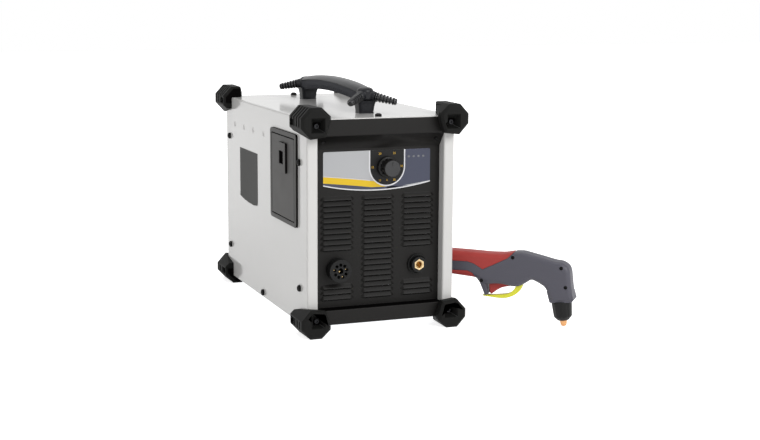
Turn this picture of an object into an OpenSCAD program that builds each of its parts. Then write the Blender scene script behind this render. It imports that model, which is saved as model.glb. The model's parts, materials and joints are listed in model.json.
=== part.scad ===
// Plasma cutting unit: a sheet steel case with a moulded front, corner bumpers, a carrying
// handle, a side door over a bin for spare torch parts, a built-in compressor and a hand
// torch that stands beside the case on its nozzle.
// Frame: +Z up, the front faces -Y, the origin is on the floor under the middle of the case.

/* [Case] */
// Width of the sheet cover
body_w = 236; // [232:1:250]
// Depth of the sheet cover
body_d = 444; // [436:1:470]
// Height of the sheet cover
body_h = 312; // [308:1:330]
// Thickness of the sheet steel
sheet_t = 1.5; // [1.2:0.1:1.8]
// Outer radius of the sheet bends
bend_r = 3; // [2.5:0.5:4]
// Visible width of each corner post
post_w = 17; // [16:1:18]
// How far the front and rear panels lie behind the posts
recess = 18; // [17:1:19]
// Height of the case above the floor
foot_drop = 13.5; // [13:0.5:15]

/* [Front panel] */
// Wall thickness of the moulded front
panel_t = 3; // [2.5:0.5:3.5]
// Height of the brow above the control area
brow_h = 25; // [23:1:26]
// Height of the slope below the brow
slope_h = 22.7; // [21:0.1:24]
// Height of the bar along the bottom
bar_h = 24; // [22:1:25]
// Distance between the louvres
louvre_pitch = 8.4; // [8.2:0.1:8.8]
// Width of a louvre from point to point
louvre_w = 53.5; // [50:0.5:55]
// Distance of the outer louvre columns from the middle
louvre_x = 65; // [64:1:66]

/* [Controls] */
// Sideways place of the current knob
knob_x = 15; // [12:1:18]
// Radius of the knob's cap
knob_r = 13; // [12:0.1:13.5]
// How far the knob stands out from the panel
knob_h = 24; // [20:1:26]

/* [Sockets] */
// Sideways place of the torch and earth sockets
socket_x = 65; // [63:1:66]
// Height of the sockets above the floor
socket_z = 96.5; // [94:0.5:100]
// Radius of the torch socket's face
torch_socket_r = 17.5; // [16.5:0.1:18]
// Radius of the earth socket's collar
earth_socket_r = 14; // [13.5:0.1:14.5]
// Radius of the bore in the earth socket's brass contact
earth_bore_r = 4.6; // [4.5:0.05:4.75]

/* [Bumpers] */
// How far a bumper stands out at the front
bumper_front = 21; // [20:1:23]
// How far a bumper reaches back along the case
bumper_back = 37; // [35:1:40]
// Width of the square recess over each bumper screw
bumper_recess = 21; // [18:1:21]

/* [Handle] */
// Distance between the two handle feet
handle_span = 273; // [265:1:280]
// Width of the hand grip
grip_w = 30; // [28:1:32]
// Height of the top of the grip above the cover
grip_top = 45; // [44:0.5:48]
// Thickness of the grip from crown to underside
grip_t = 18; // [17:0.5:19]

/* [Side door] */
// Length of the door frame along the case
door_frame_l = 129; // [126:1:130]
// Height of the door frame
door_frame_h = 141; // [138:1:142]
// How far the door frame stands out from the cover
door_proud = 3.7; // [3.5:0.1:4]
// Travel of the sliding latch
latch_travel = 12; // [8:1:12]

/* [Torch] */
// Thickness of the torch handle
torch_t = 32; // [30:1:33]
// Largest radius of the shield cup
cup_r = 15.8; // [15:0.1:16]
// Turn of the torch seen from above
torch_turn = 140; // [139:0.5:141]

/* [Hidden] */
$fn = 48;

// Small gap that keeps neighbouring pieces apart
gap = 0.4;
// Radial play of a pin that turns in its hole
play = 0.05;
// Clearance hole and shank of the case screws
screw_r = 2;
hole_r = 2.15;

// Main planes of the case
side_x = body_w / 2;
front_y = -body_d / 2;
rear_y = body_d / 2;
bottom_z = foot_drop;
top_z = foot_drop + body_h;
panel_y = front_y + recess;
rear_panel_y = rear_y - recess;
post_in = side_x - post_w;
inner_x = side_x - sheet_t - 0.2;
tray_top = bottom_z + sheet_t;
ceiling_z = top_z - sheet_t - 0.2;

// Colours of the materials
paint_light = [0.80, 0.80, 0.79];
moulding_black = [0.19, 0.19, 0.18];
rubber_black = [0.13, 0.13, 0.13];
steel = [0.70, 0.71, 0.72];
aluminium = [0.78, 0.79, 0.80];
brass = [0.85, 0.68, 0.35];
copper = [0.80, 0.50, 0.30];
board_green = [0.12, 0.35, 0.20];
handle_grey = [0.24, 0.24, 0.26];
door_grey = [0.38, 0.37, 0.37];
torch_grey = [0.35, 0.34, 0.38];
torch_red = [0.67, 0.25, 0.25];
guard_yellow = [0.85, 0.85, 0.20];

// ---- shared shapes ----

// Centred rectangle with round corners
module rounded(w, h, r) {
    square([w - 2 * r, h], center = true);
    square([w, h - 2 * r], center = true);
    for (sx = [-1, 1], sy = [-1, 1])
        translate([sx * (w / 2 - r), sy * (h / 2 - r)]) circle(r);
}

// Round bar along X, Y or Z from a point
module bar_x(p, l, r) { translate(p) rotate([0, 90, 0]) cylinder(h = l, r = r); }
module bar_y(p, l, r) { translate(p) rotate([-90, 0, 0]) cylinder(h = l, r = r); }
module bar_z(p, l, r) { translate(p) cylinder(h = l, r = r); }

// Outline in the (Y, Z) plane drawn out along X, centred
module along_x(l) { rotate([90, 0, 90]) linear_extrude(l, center = true) children(); }

// Outline in the (X, Z) plane drawn out along +Y from y0
module along_y(y0, l) { translate([0, y0 + l, 0]) rotate([90, 0, 0]) linear_extrude(l) children(); }

// ---- cover ----

// Heights of the screws in the sides and their places along the case
side_screw_low = bottom_z + 54;
side_screw_high = top_z - 67;
side_screw_front = front_y + 35;
side_screw_rear = rear_y - 24;
side_screws = [
    [side_screw_front, side_screw_low], [side_screw_front, side_screw_high],
    [side_screw_rear, side_screw_low], [side_screw_rear, side_screw_high],
    [4, bottom_z + 7.7]
];
top_screws = [front_y + 17, rear_y - 17];

// One corner post seen from above, at the front left
module post_plan() {
    len = recess + 12;
    difference() {
        translate([-side_x + post_w / 2, front_y + len / 2]) rounded(post_w, len, bend_r);
        translate([-side_x + post_w / 2, front_y + len / 2])
            rounded(post_w - 2 * sheet_t, len - 2 * sheet_t, bend_r - sheet_t);
        translate([-side_x - 1, panel_y]) square([post_w + 2, len]);
    }
}

module cover_plan() {
    for (mx = [0, 1], my = [0, 1]) mirror([mx, 0]) mirror([0, my]) post_plan();
    for (mx = [0, 1]) mirror([mx, 0])
        translate([-side_x, panel_y - 4]) square([sheet_t, 2 * (4 - panel_y)]);
}

// Front view of the case with its two top bends
module cover_front_view() {
    translate([-side_x, bottom_z - 1]) square([body_w, body_h + 1 - bend_r]);
    translate([-side_x + bend_r, bottom_z - 1]) square([body_w - 2 * bend_r, body_h + 1]);
    for (sx = [-1, 1]) translate([sx * (side_x - bend_r), top_z - bend_r]) circle(bend_r);
}

module cover() color(paint_light) difference() {
    intersection() {
        union() {
            translate([0, 0, bottom_z]) linear_extrude(body_h) cover_plan();
            translate([0, 0, top_z - sheet_t]) linear_extrude(sheet_t) rounded(body_w, body_d, bend_r);
        }
        along_y(front_y - 1, body_d + 2) cover_front_view();
    }
    // opening for the door frame
    translate([-side_x, door_y, door_z]) rotate([0, 90, 0])
        translate([0, 0, -5]) linear_extrude(10) rounded(door_collar_h + gap, door_collar_l + gap, 4);
    for (s = side_screws) bar_x([-side_x - 5, s[0], s[1]], body_w + 10, hole_r);
    for (y = top_screws) bar_z([0, y, top_z - 5], 10, hole_r);
    for (y = [handle_front_y, handle_rear_y], x = [-5, 5]) bar_z([x, y, top_z - 5], 10, 2.2);
    // bumper screws through the post flanges
    for (sx = [-1, 1], z = [bottom_z + bumper_hole_low, top_z - bumper_hole_high], y = [front_y, rear_y])
        bar_y([sx * (side_x - bumper_hole_in), y - 5, z], 10, 2.2);
    // four pressed dimples high on the left side
    for (i = [0:3]) translate([-side_x - 5.4, -3 + 56.3 * i, top_z - 44]) sphere(6);
}

// ---- base and end panels ----

module base_tray() color(steel) difference() {
    union() {
        translate([-inner_x, panel_y + 0.5, bottom_z]) cube([2 * inner_x, -2 * panel_y - 1, sheet_t]);
        for (mx = [0, 1]) mirror([mx, 0, 0])
            translate([inner_x - sheet_t, -170, bottom_z]) cube([sheet_t, 340, 20]);
    }
    bar_x([-side_x, side_screws[4][0], side_screws[4][1]], body_w, hole_r);
    // air slots under the power stage
    for (i = [0:7]) translate([25, -110 + 18 * i, bottom_z - 1]) cube([60, 6, sheet_t + 2]);
}

brow_z = top_z - brow_h;
slope_z = brow_z - slope_h;
bar_z0 = bottom_z + bar_h;
louvre_top = top_z - 124.1;
louvre_rows = floor((louvre_top - bar_z0 - 12) / louvre_pitch) + 1;

// Section of the moulded front, bent from the top flange to the bottom flange
module front_section() {
    t = panel_t;
    polygon([
        [front_y + 27, ceiling_z], [front_y, ceiling_z], [front_y, brow_z],
        [panel_y, slope_z], [panel_y, bar_z0], [front_y, bar_z0],
        [front_y, tray_top], [front_y + 27, tray_top], [front_y + 27, tray_top + t],
        [front_y + t, tray_top + t], [front_y + t, bar_z0 - t], [panel_y + t, bar_z0 - t],
        [panel_y + t, slope_z + 1.2], [front_y + t, brow_z + 1.2],
        [front_y + t, ceiling_z - t], [front_y + 27, ceiling_z - t]
    ]);
}

// Rows of a louvre column: all rows in the middle, none beside the sockets
function louvre_row_z(i) = louvre_top - louvre_pitch * i;
function row_used(column, i) =
    column == 0 || abs(louvre_row_z(i) - socket_z) > 26 - (louvre_row_z(i) < socket_z ? 2 : 0);

module louvre_hole() {
    polygon([
        [-louvre_w / 2, 1.6], [-louvre_w / 2 + 4, 0], [louvre_w / 2 - 4, 0],
        [louvre_w / 2, 1.6], [louvre_w / 2 - 4, 3.4], [-louvre_w / 2 + 4, 3.4]
    ]);
}

module louvre_hood() {
    along_x(louvre_w - 8)
        polygon([[0.5, 6.4], [0, 6.4], [-2.6, 1], [-2.6, 0], [-1.6, 0], [-1.6, 1.2], [0.5, 5]]);
}

module front_panel() color(moulding_black) difference() {
    union() {
        along_x(2 * (post_in - 0.2)) front_section();
        for (mx = [0, 1]) mirror([mx, 0, 0]) {
            // wings behind the posts and returns along the sides
            translate([post_in - 1, panel_y, tray_top])
                cube([inner_x - post_in + 1, panel_t, ceiling_z - tray_top]);
            translate([inner_x - 2, panel_y, tray_top + 16]) cube([2, 22, body_h - 40]);
            // closed ends of the brow and of the bar
            translate([post_in - 1.45, 0, 0]) along_x(2.5) polygon([
                [front_y, ceiling_z], [front_y, brow_z], [panel_y, slope_z],
                [panel_y + 1, slope_z], [panel_y + 1, ceiling_z]
            ]);
            translate([post_in - 1.45, (front_y + panel_y) / 2, (tray_top + bar_z0) / 2])
                cube([2.5, recess, bar_z0 - tray_top], center = true);
        }
        for (c = [-1, 0, 1], i = [0:louvre_rows - 1]) if (row_used(c, i))
            translate([c * louvre_x, panel_y, louvre_row_z(i)]) louvre_hood();
    }
    for (c = [-1, 0, 1], i = [0:louvre_rows - 1]) if (row_used(c, i))
        translate([c * louvre_x, panel_y + 2 * panel_t, louvre_row_z(i)])
            rotate([90, 0, 0]) linear_extrude(2 * panel_t) louvre_hole();
    bar_y([knob_x, panel_y - 5, knob_z], 10, pot_bush_r + 0.1);
    for (i = [0:3]) bar_y([light_x + 8 * i, panel_y - 5, light_z], 10, 1.6);
    bar_y([-socket_x, panel_y - 5, socket_z], 10, 12.7);
    bar_y([socket_x, panel_y - 5, socket_z], 10, 9.7);
    for (s = side_screws) bar_x([-side_x - 5, s[0], s[1]], body_w + 10, hole_r);
    bar_z([0, top_screws[0], ceiling_z - panel_t - 5], 10, hole_r);
    for (sx = [-1, 1]) translate([sx * 91, front_y + 8, slope_mid_z]) rotate([slope_tilt, 0, 0])
        bar_y([0, -10, 0], 20, 1.6);
}

// Middle of the slope and its lean, for the two small screws in it
slope_mid_z = slope_z + slope_h * (recess - 8) / recess;
slope_tilt = atan2(recess, slope_h);

module rear_panel() color(moulding_black) difference() {
    union() {
        translate([-inner_x, rear_panel_y - sheet_t, tray_top])
            cube([2 * inner_x, sheet_t, ceiling_z - tray_top]);
        for (z = [tray_top, ceiling_z - sheet_t]) translate([0.2 - post_in, rear_panel_y - sheet_t, z])
            cube([2 * (post_in - 0.2), recess + sheet_t - 1, sheet_t]);
        for (mx = [0, 1]) mirror([mx, 0, 0])
            translate([inner_x - 2, rear_panel_y - 22, tray_top + 16]) cube([2, 22, body_h - 40]);
    }
    bar_y([fan_x, rear_panel_y - 10, fan_z], 20, 55);
    translate([switch_x, rear_panel_y, switch_z]) cube([27.4, 20, 21.4], center = true);
    bar_y([gland_x, rear_panel_y - 10, gland_z], 20, 10.1);
    for (i = [0:9]) translate([gland_x, rear_panel_y, 50 + 9 * i]) cube([60, 20, 3.5], center = true);
    for (s = side_screws) bar_x([-side_x - 5, s[0], s[1]], body_w + 10, hole_r);
    bar_z([0, top_screws[1], ceiling_z - 8], 13, hole_r);
    for (sx = [-1, 1], sz = [-1, 1]) bar_y([fan_x + 52.5 * sx, rear_panel_y - 10, fan_z + 52.5 * sz], 20, hole_r);
}

// ---- bumpers ----

// Screw place: inwards from the side, and up or down from the case's edge
bumper_hole_in = 11;
bumper_hole_high = 9.25;
bumper_hole_low = 12.25;
bumper_bevel = 4;
bumper_screw_y = 8;

// Outline of a bumper's front, outwards from the side and from the top of the case
function bumper_outline(lift, crown) = [for (p = [
    [1, 17 + crown], [15, 2 + crown], [15, -11], [0, -27.5],
    [-24, -24.5], [-31, -2], [-31, 4 + crown], [-17, 17 + crown]
]) p + [0, lift]];

// The smaller outline of the end that laps the case
function bumper_end_outline(lift, crown) = [for (p = [
    [1, 17 + crown], [15, 2 + crown], [15, -12.5], [9, -18.5],
    [-10, -18.5], [-16, -8], [-16, 15.5 + crown], [-14.5, 17 + crown]
]) p + [0, lift]];

// A bumper at the origin for the front, top, right corner; lift moves its outline up, crown
// makes it taller and mouth_v places the mouth of the funnel over the screw at hole_v
module bumper_shape(lift, crown, hole_v, mouth_v) {
    outline = bumper_outline(lift, crown);
    difference() {
        union() {
            hull() {
                along_y(bumper_bevel - bumper_front, 8) polygon(outline);
                along_y(bumper_back - 2, 2) polygon(bumper_end_outline(lift, crown));
            }
            hull() {
                along_y(bumper_bevel - bumper_front, 0.1) polygon(outline);
                translate([-8, 0, lift - 5]) along_y(-bumper_front, 0.1)
                    scale([0.82, 0.82]) translate([8, 5 - lift]) polygon(outline);
            }
        }
        translate([-60, 0, -60]) cube([60, 60, 60]);
        // square funnel over the screw
        hull() {
            translate([-bumper_hole_in + 0.5, -bumper_front, mouth_v])
                cube([bumper_recess, 0.2, bumper_recess], center = true);
            translate([-bumper_hole_in, -bumper_screw_y, hole_v]) cube([9, 0.2, 9], center = true);
        }
        bar_y([-bumper_hole_in, -bumper_front, hole_v], bumper_front + 5, 2.2);
        // four finger grooves round the outer side
        for (i = [0:3]) along_y(-10.2 + 11.6 * i, 4.4) polygon([
            [-3, 12.9 + crown + lift], [10, crown + lift - 1.1], [10, lift - 9.5], [20, lift - 9.5],
            [20, 25], [-3, 25]
        ]);
        // pocket beside the last of them
        translate([10, bumper_back - 17, lift - 9.5]) cube([10, 14.5, 9.5]);
    }
}

bumper_lift_top = -0.5;
bumper_lift_bottom = foot_drop - 17;

module bumper(rear, top, right) {
    hole_v = top ? -bumper_hole_high : -bumper_hole_low;
    mouth_v = top ? -bumper_hole_high + 1.7 : -bumper_hole_low - 1.5;
    color(rubber_black)
        mirror([right ? 0 : 1, 0, 0]) mirror([0, rear ? 1 : 0, 0])
            translate([side_x, front_y, top ? top_z : bottom_z]) mirror([0, 0, top ? 0 : 1])
                bumper_shape(top ? bumper_lift_top : bumper_lift_bottom, top ? 2 : 0, hole_v, mouth_v);
}

module bumper_front_top_left() bumper(false, true, false);
module bumper_front_top_right() bumper(false, true, true);
module bumper_front_bottom_left() bumper(false, false, false);
module bumper_front_bottom_right() bumper(false, false, true);
module bumper_rear_top_left() bumper(true, true, false);
module bumper_rear_top_right() bumper(true, true, true);
module bumper_rear_bottom_left() bumper(true, false, false);
module bumper_rear_bottom_right() bumper(true, false, true);

module bumper_screws() color(steel)
    for (mx = [0, 1], my = [0, 1], z = [bottom_z + bumper_hole_low, top_z - bumper_hole_high])
        mirror([mx, 0, 0]) mirror([0, my, 0]) translate([side_x - bumper_hole_in, front_y, z]) {
            difference() {
                bar_y([0, -bumper_screw_y - 3, 0], 3, 3.4);
                bar_y([0, -bumper_screw_y - 4, 0], 3, 1.6);
            }
            bar_y([0, -bumper_screw_y, 0], bumper_screw_y + 8, screw_r);
            bar_y([0, sheet_t, 0], 4, 3.9);
        }

// Domed screw at the origin, its head towards +Z
module dome_screw(shank) {
    difference() {
        intersection() {
            translate([0, 0, -2.4]) sphere(7.2);
            cylinder(h = 5, r = 5.2);
        }
        for (a = [0, 90]) rotate([0, 0, a]) translate([0, 0, 4.4]) cube([4.4, 0.9, 2], center = true);
    }
    translate([0, 0, -shank]) cylinder(h = shank, r = screw_r);
}

module cover_screws() color(rubber_black) {
    for (mx = [0, 1], s = side_screws)
        mirror([mx, 0, 0]) translate([side_x, s[0], s[1]]) rotate([0, 90, 0]) dome_screw(7);
    for (y = top_screws) translate([0, y, top_z]) dome_screw(7);
    for (sx = [-1, 1]) translate([sx * 91, front_y + 8, slope_mid_z]) rotate([90 + slope_tilt, 0, 0]) {
        cylinder(h = 1.6, r = 2.8);
        translate([0, 0, -6]) cylinder(h = 6, r = 1.5);
    }
}

// ---- handle ----

handle_mid_y = -10.5;
handle_front_y = handle_mid_y - handle_span / 2;
handle_rear_y = handle_mid_y + handle_span / 2;
arch_r = 1200;
arch_z = top_z + grip_top - arch_r;
foot_w = 25.5;
foot_l = 22.5;
// Height of the arch's underside over a foot
foot_top_z = arch_z + sqrt(pow(arch_r - grip_t, 2) - pow(handle_span / 2 + foot_l / 2, 2)) - 0.3;
horn_root_z = foot_top_z + 10;
horn_len = 52;
horn_drop = 10;

// Section of the grip: x across, r from the centre of the arch
module grip_section() {
    w = grip_w / 2;
    polygon([
        [arch_r - grip_t, -w + 2], [arch_r - grip_t + 2, -w], [arch_r - 6.5, -w], [arch_r - 1, -w / 2],
        [arch_r, 0], [arch_r - 1, w / 2], [arch_r - 6.5, w], [arch_r - grip_t + 2, w],
        [arch_r - grip_t, w - 2]
    ]);
}

// A ribbed horn that leaves the end of the grip at 45 degrees
module horn() {
    rotate([0, 90 + horn_drop, 0]) {
        cylinder(h = horn_len, r1 = 7.5, r2 = 4.5);
        for (i = [0:4]) translate([0, 0, 26 + 5 * i]) cylinder(h = 2.2, r = 7.6 - 0.4 * i);
        translate([0, 0, horn_len]) cylinder(h = 2.5, r1 = 4.5, r2 = 3);
    }
}

module handle_grip() color(handle_grey) difference() {
    a = asin((handle_span / 2) / arch_r);
    union() {
        translate([0, handle_mid_y, arch_z]) rotate([0, -90, 0]) rotate([0, 0, -a])
            rotate_extrude(angle = 2 * a, $fn = 200) grip_section();
        for (s = [-1, 1]) translate([0, handle_mid_y + s * handle_span / 2, 0]) {
            translate([0, 0, foot_top_z]) cylinder(h = 16, r = 13);
            for (b = [-1, 1]) translate([0, 0, horn_root_z]) rotate([0, 0, s * 90 + b * 45]) horn();
        }
    }
    // screw holes and the flat seats of the two feet
    for (y = [handle_front_y, handle_rear_y]) {
        for (x = [-5, 5]) bar_z([x, y, foot_top_z - 1], 13, screw_r);
        translate([-20, y - 14, foot_top_z - 20]) cube([40, 28, 20]);
    }
}

module handle_foot(y) color(handle_grey) difference() {
    hull() {
        translate([0, y, top_z]) linear_extrude(0.1) square([foot_w - 2, foot_l - 2], center = true);
        translate([0, y, foot_top_z - 0.1]) linear_extrude(0.1) square([foot_w + 1, foot_l + 2], center = true);
    }
    for (x = [-5, 5]) bar_z([x, y, top_z - 1], grip_top, hole_r);
}
module handle_foot_front() handle_foot(handle_front_y);
module handle_foot_rear() handle_foot(handle_rear_y);

module handle_screws() color(steel)
    for (y = [handle_front_y, handle_rear_y], x = [-5, 5]) {
        bar_z([x, y, top_z - sheet_t - 3], 3, 4);
        bar_z([x, y, top_z - sheet_t], foot_top_z - top_z + sheet_t + 10, screw_r - play);
    }

// ---- controls ----

knob_z = top_z - 77;
pot_bush_r = 3.5;
overlay_t = 0.4;
overlay_top = top_z - 51.2;
overlay_low = top_z - 112.1;
overlay_side = top_z - 102.2;
overlay_w = 172.4;
light_x = 50;
light_z = top_z - 62.5;

// Film over the control area, its lower edge a shallow arc
module control_overlay() color([0.72, 0.72, 0.74]) difference() {
    sag = overlay_side - overlay_low;
    arc_r = (pow(overlay_w / 2, 2) + pow(sag, 2)) / (2 * sag);
    intersection() {
        translate([-overlay_w / 2 - 0.8, panel_y - overlay_t, overlay_low - 5])
            cube([overlay_w, overlay_t, overlay_top - overlay_low + 5]);
        bar_y([-0.8, panel_y - 5, overlay_low + arc_r], 10, arc_r, $fn = 200);
    }
    bar_y([knob_x, panel_y - 5, knob_z], 10, 6);
    for (i = [0:3]) bar_y([light_x + 8 * i, panel_y - 5, light_z], 10, 1.6);
}

module indicator_lights() color([0.75, 0.85, 0.75])
    for (i = [0:3]) bar_y([light_x + 8 * i, panel_y - 0.3, light_z], 9.3, 1.5);

module control_board() color(board_green) difference() {
    translate([knob_x - 45, panel_y + panel_t + 6, knob_z - 22]) cube([112, 1.6, 46]);
    bar_y([knob_x, panel_y, knob_z], 20, pot_bush_r + 1);
}

module potentiometer() color(steel) difference() {
    union() {
        bar_y([knob_x, panel_y + panel_t, knob_z], 6, 8);
        bar_y([knob_x, panel_y + panel_t + 7.6, knob_z], 8, 8);
        bar_y([knob_x, panel_y - 3, knob_z], 3 + panel_t + 8, pot_bush_r);
        translate([knob_x, panel_y - overlay_t, knob_z]) rotate([90, 0, 0]) cylinder(h = 2, r = 5.5, $fn = 6);
    }
    bar_y([knob_x, panel_y - 10, knob_z], 10 + panel_t + 10, 3 + play);
}

module potentiometer_shaft() color(aluminium)
    bar_y([knob_x, panel_y - 15, knob_z], 15 + panel_t + 9.5, 3);

module current_knob() color(rubber_black) difference() {
    union() {
        bar_y([knob_x, panel_y - 6, knob_z], 4.4, knob_r + 2.5);
        bar_y([knob_x, panel_y - knob_h + 1.5, knob_z], knob_h - 7, knob_r);
        translate([knob_x, panel_y - knob_h, knob_z]) rotate([-90, 0, 0])
            cylinder(h = 1.5, r1 = knob_r - 1.5, r2 = knob_r);
    }
    bar_y([knob_x, panel_y - 15, knob_z], 20, 3);
    bar_y([knob_x, panel_y - 3.6, knob_z], 5, 6.5);
    // finger flutes round the cap
    for (i = [0:11]) translate([knob_x, panel_y - knob_h - 1, knob_z]) rotate([0, 30 * i + 15, 0])
        bar_y([0, 0, knob_r + 1.6], knob_h - 6, 2.4);
    // pointer groove
    translate([knob_x, panel_y - knob_h, knob_z + knob_r / 2]) cube([1.2, 1.2, knob_r - 3], center = true);
}

// ---- sockets ----

module torch_socket() color(moulding_black) difference() {
    union() {
        bar_y([-socket_x, front_y, socket_z], recess, torch_socket_r);
        bar_y([-socket_x, panel_y, socket_z], 20, 12.5);
    }
    bar_y([-socket_x, front_y - 1, socket_z], recess + 22, 12);
}

module torch_socket_insert() color(rubber_black) difference() {
    bar_y([-socket_x, front_y + 0.6, socket_z], recess + 18, 12);
    bar_y([-socket_x, front_y - 1, socket_z], recess + 10, 4.2);
    translate([-socket_x, front_y - 1, socket_z + 4]) rotate([-90, 0, 0])
        translate([-1, -1, 0]) cube([2, 2, recess + 10]);
    for (i = [0:8]) translate([-socket_x, front_y, socket_z]) rotate([0, 40 * i, 0])
        bar_y([0, -1, 9.4], recess + 2, 1.8);
}

// Hexagonal nut behind the panel round a threaded stem
module panel_nut(x, across, bore) difference() {
    translate([x, panel_y + panel_t + 5, socket_z]) rotate([90, 0, 0])
        cylinder(h = 5, r = across / sqrt(3), $fn = 6);
    bar_y([x, panel_y, socket_z], 20, bore);
}

module torch_socket_nut() color(brass) panel_nut(-socket_x, 30, 12.5);

module earth_socket() color(moulding_black) difference() {
    union() {
        bar_y([socket_x, panel_y - 4, socket_z], 4, earth_socket_r + 1.5);
        bar_y([socket_x, panel_y - 11, socket_z], 11, earth_socket_r - 2);
    }
    // groove for the plug's collar between the rim and the inner ring
    difference() {
        bar_y([socket_x, panel_y - 5, socket_z], 4, earth_socket_r);
        bar_y([socket_x, panel_y - 12, socket_z], 13, earth_socket_r - 2);
    }
    bar_y([socket_x, panel_y - 12, socket_z], 20, 7.3);
}

module earth_contact() color(brass) difference() {
    union() {
        bar_y([socket_x, panel_y - 10, socket_z], 24, 7.3);
        bar_y([socket_x, panel_y + 14, socket_z], 10, 4);
    }
    bar_y([socket_x, panel_y - 11, socket_z], 23, earth_bore_r);
    // keyway for the plug's cam
    translate([socket_x, panel_y - 7, socket_z - 4.4]) cube([3, 8, 3.4], center = true);
}

module earth_nut() color(brass) panel_nut(socket_x, 19, 7.3);

// ---- side door ----

door_y = front_y + 43 + door_frame_l / 2;
door_z = top_z - 97.3;
door_collar_l = door_frame_l - 6;
door_collar_h = door_frame_h - 6;
door_l = door_frame_l - 15;
door_h = door_frame_h - 13.5;
door_out = side_x + door_proud - 0.2;
door_thick = 4;
hinge_r = 2;
hinge_x = -door_out + hinge_r;
hinge_z = door_z - door_h / 2 + gap + hinge_r;

// Outline lying in the (Y, Z) plane drawn out along +X from x0
module plate_x(x0, t) { translate([x0, door_y, door_z]) rotate([90, 0, 90]) linear_extrude(t) children(); }

module door_frame() color(door_grey) difference() {
    union() {
        plate_x(-side_x - door_proud, door_proud) rounded(door_frame_l, door_frame_h, 6);
        plate_x(-side_x, 14) rounded(door_collar_l, door_collar_h, 4);
    }
    plate_x(-side_x - door_proud - 1, door_proud + 2) rounded(door_l, door_h, 1.2);
    plate_x(-side_x, 15) rounded(door_collar_l - 4, door_collar_h - 4, 3);
    bar_y([hinge_x, door_y - door_l / 2 - 5, hinge_z], door_l + 10, 1);
}

module door_hinge_pin() color(steel)
    bar_y([hinge_x, door_y - door_l / 2 - 5, hinge_z], door_l + 10, 1);

latch_y = front_y + 101.5;
latch_z = top_z - 67.2;
latch_l = 33;
latch_h = 45.5;
latch_proud = 3.5;
bolt_top = door_z + door_h / 2 - gap - 2;

module side_door() color(door_grey) difference() {
    union() {
        translate([-door_out, door_y - door_l / 2 + gap, hinge_z])
            cube([door_thick, door_l - 2 * gap, door_h - 2 * gap - hinge_r]);
        bar_y([hinge_x, door_y - door_l / 2 + gap, hinge_z], door_l - 2 * gap, hinge_r);
    }
    bar_y([hinge_x, door_y - door_l / 2, hinge_z], door_l, 1 + play);
    // slot for the latch's stem
    translate([-door_out - 1, latch_y - 5 - gap, latch_z - 8 - latch_travel - gap])
        cube([door_thick + 2, 10 + 2 * gap, 16 + latch_travel + 2 * gap]);
}

module door_latch() color(door_grey) difference() {
    union() {
        translate([-door_out - 0.2 - latch_proud, latch_y - latch_l / 2, latch_z - latch_h / 2])
            cube([latch_proud, latch_l, latch_h]);
        translate([-door_out - 1, latch_y - 5, latch_z - 8]) cube([door_thick + 2, 10, 16]);
        translate([-door_out + door_thick + 0.2, latch_y - 9, latch_z - 12])
            cube([2, 18, bolt_top - latch_z + 12]);
    }
    // finger pocket
    translate([-door_out - 0.2 - latch_proud - 1, latch_y - 6.5, latch_z - 10]) cube([3.5, 20, 20]);
}

// Open box behind the door for spare nozzles and electrodes
bin_depth = 40;
module consumables_bin() color(moulding_black) difference() {
    plate_x(14 - side_x, bin_depth) rounded(door_collar_l, door_collar_h, 4);
    plate_x(13 - side_x, bin_depth - 1) rounded(door_collar_l - 4, door_collar_h - 4, 3);
}

// Plain plate glued to the side behind the door
plate_y0 = 33;
plate_y1 = 135;
module side_plate() color([0.40, 0.40, 0.39])
    translate([-side_x - 0.6, 0, 0]) rotate([90, 0, 90]) linear_extrude(0.6) {
        translate([plate_y0, top_z - 162]) square([plate_y1 - plate_y0, 82]);
        polygon([
            [plate_y0, top_z - 162], [plate_y0 + 3, top_z - 166], [plate_y0 + 22, top_z - 168],
            [plate_y0 + 55, top_z - 167.5], [plate_y1 - 20, top_z - 165], [plate_y1, top_z - 162]
        ]);
    }

// ---- mains inlet and switch on the rear panel ----

switch_x = -62;
switch_z = top_z - 55;
// Tip of the rocker from level at each of its stops
rocker_tip = 9;
gland_x = -62;
gland_z = top_z - 105;

module switch_housing() color(rubber_black) difference() {
    union() {
        translate([switch_x, rear_panel_y - 10, switch_z]) cube([27, 24, 21], center = true);
        translate([switch_x, rear_panel_y + 1, switch_z]) cube([32, 2, 26], center = true);
    }
    translate([switch_x, rear_panel_y, switch_z]) cube([21, 26, 15], center = true);
    bar_x([switch_x - 12.5, rear_panel_y - 3, switch_z], 25, 1.5 + play);
}

// The rocker rests tipped to its off side
module switch_rocker() color([0.6, 0.1, 0.1])
    translate([switch_x, rear_panel_y - 3, switch_z]) rotate([rocker_tip, 0, 0]) {
        intersection() {
            bar_x([-10, 0, 0], 20, 7);
            translate([0, 3, 0]) cube([20, 9, 14], center = true);
        }
        bar_x([-12, 0, 0], 24, 1.5);
    }

module mains_gland() color(rubber_black) difference() {
    union() {
        bar_y([gland_x, rear_panel_y - 12, gland_z], 12, 10);
        bar_y([gland_x, rear_panel_y, gland_z], 4, 14);
        bar_y([gland_x, rear_panel_y + 4, gland_z], 9, 11.5);
        translate([gland_x, rear_panel_y - sheet_t, gland_z]) rotate([90, 0, 0]) cylinder(h = 5, r = 14, $fn = 6);
    }
    bar_y([gland_x, rear_panel_y - 20, gland_z], 50, 5.5);
}

// ---- fan ----

fan_x = 42;
fan_z = bottom_z + 176;
fan_size = 119;
fan_depth = 25;
fan_y0 = rear_panel_y - sheet_t - fan_depth;

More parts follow.
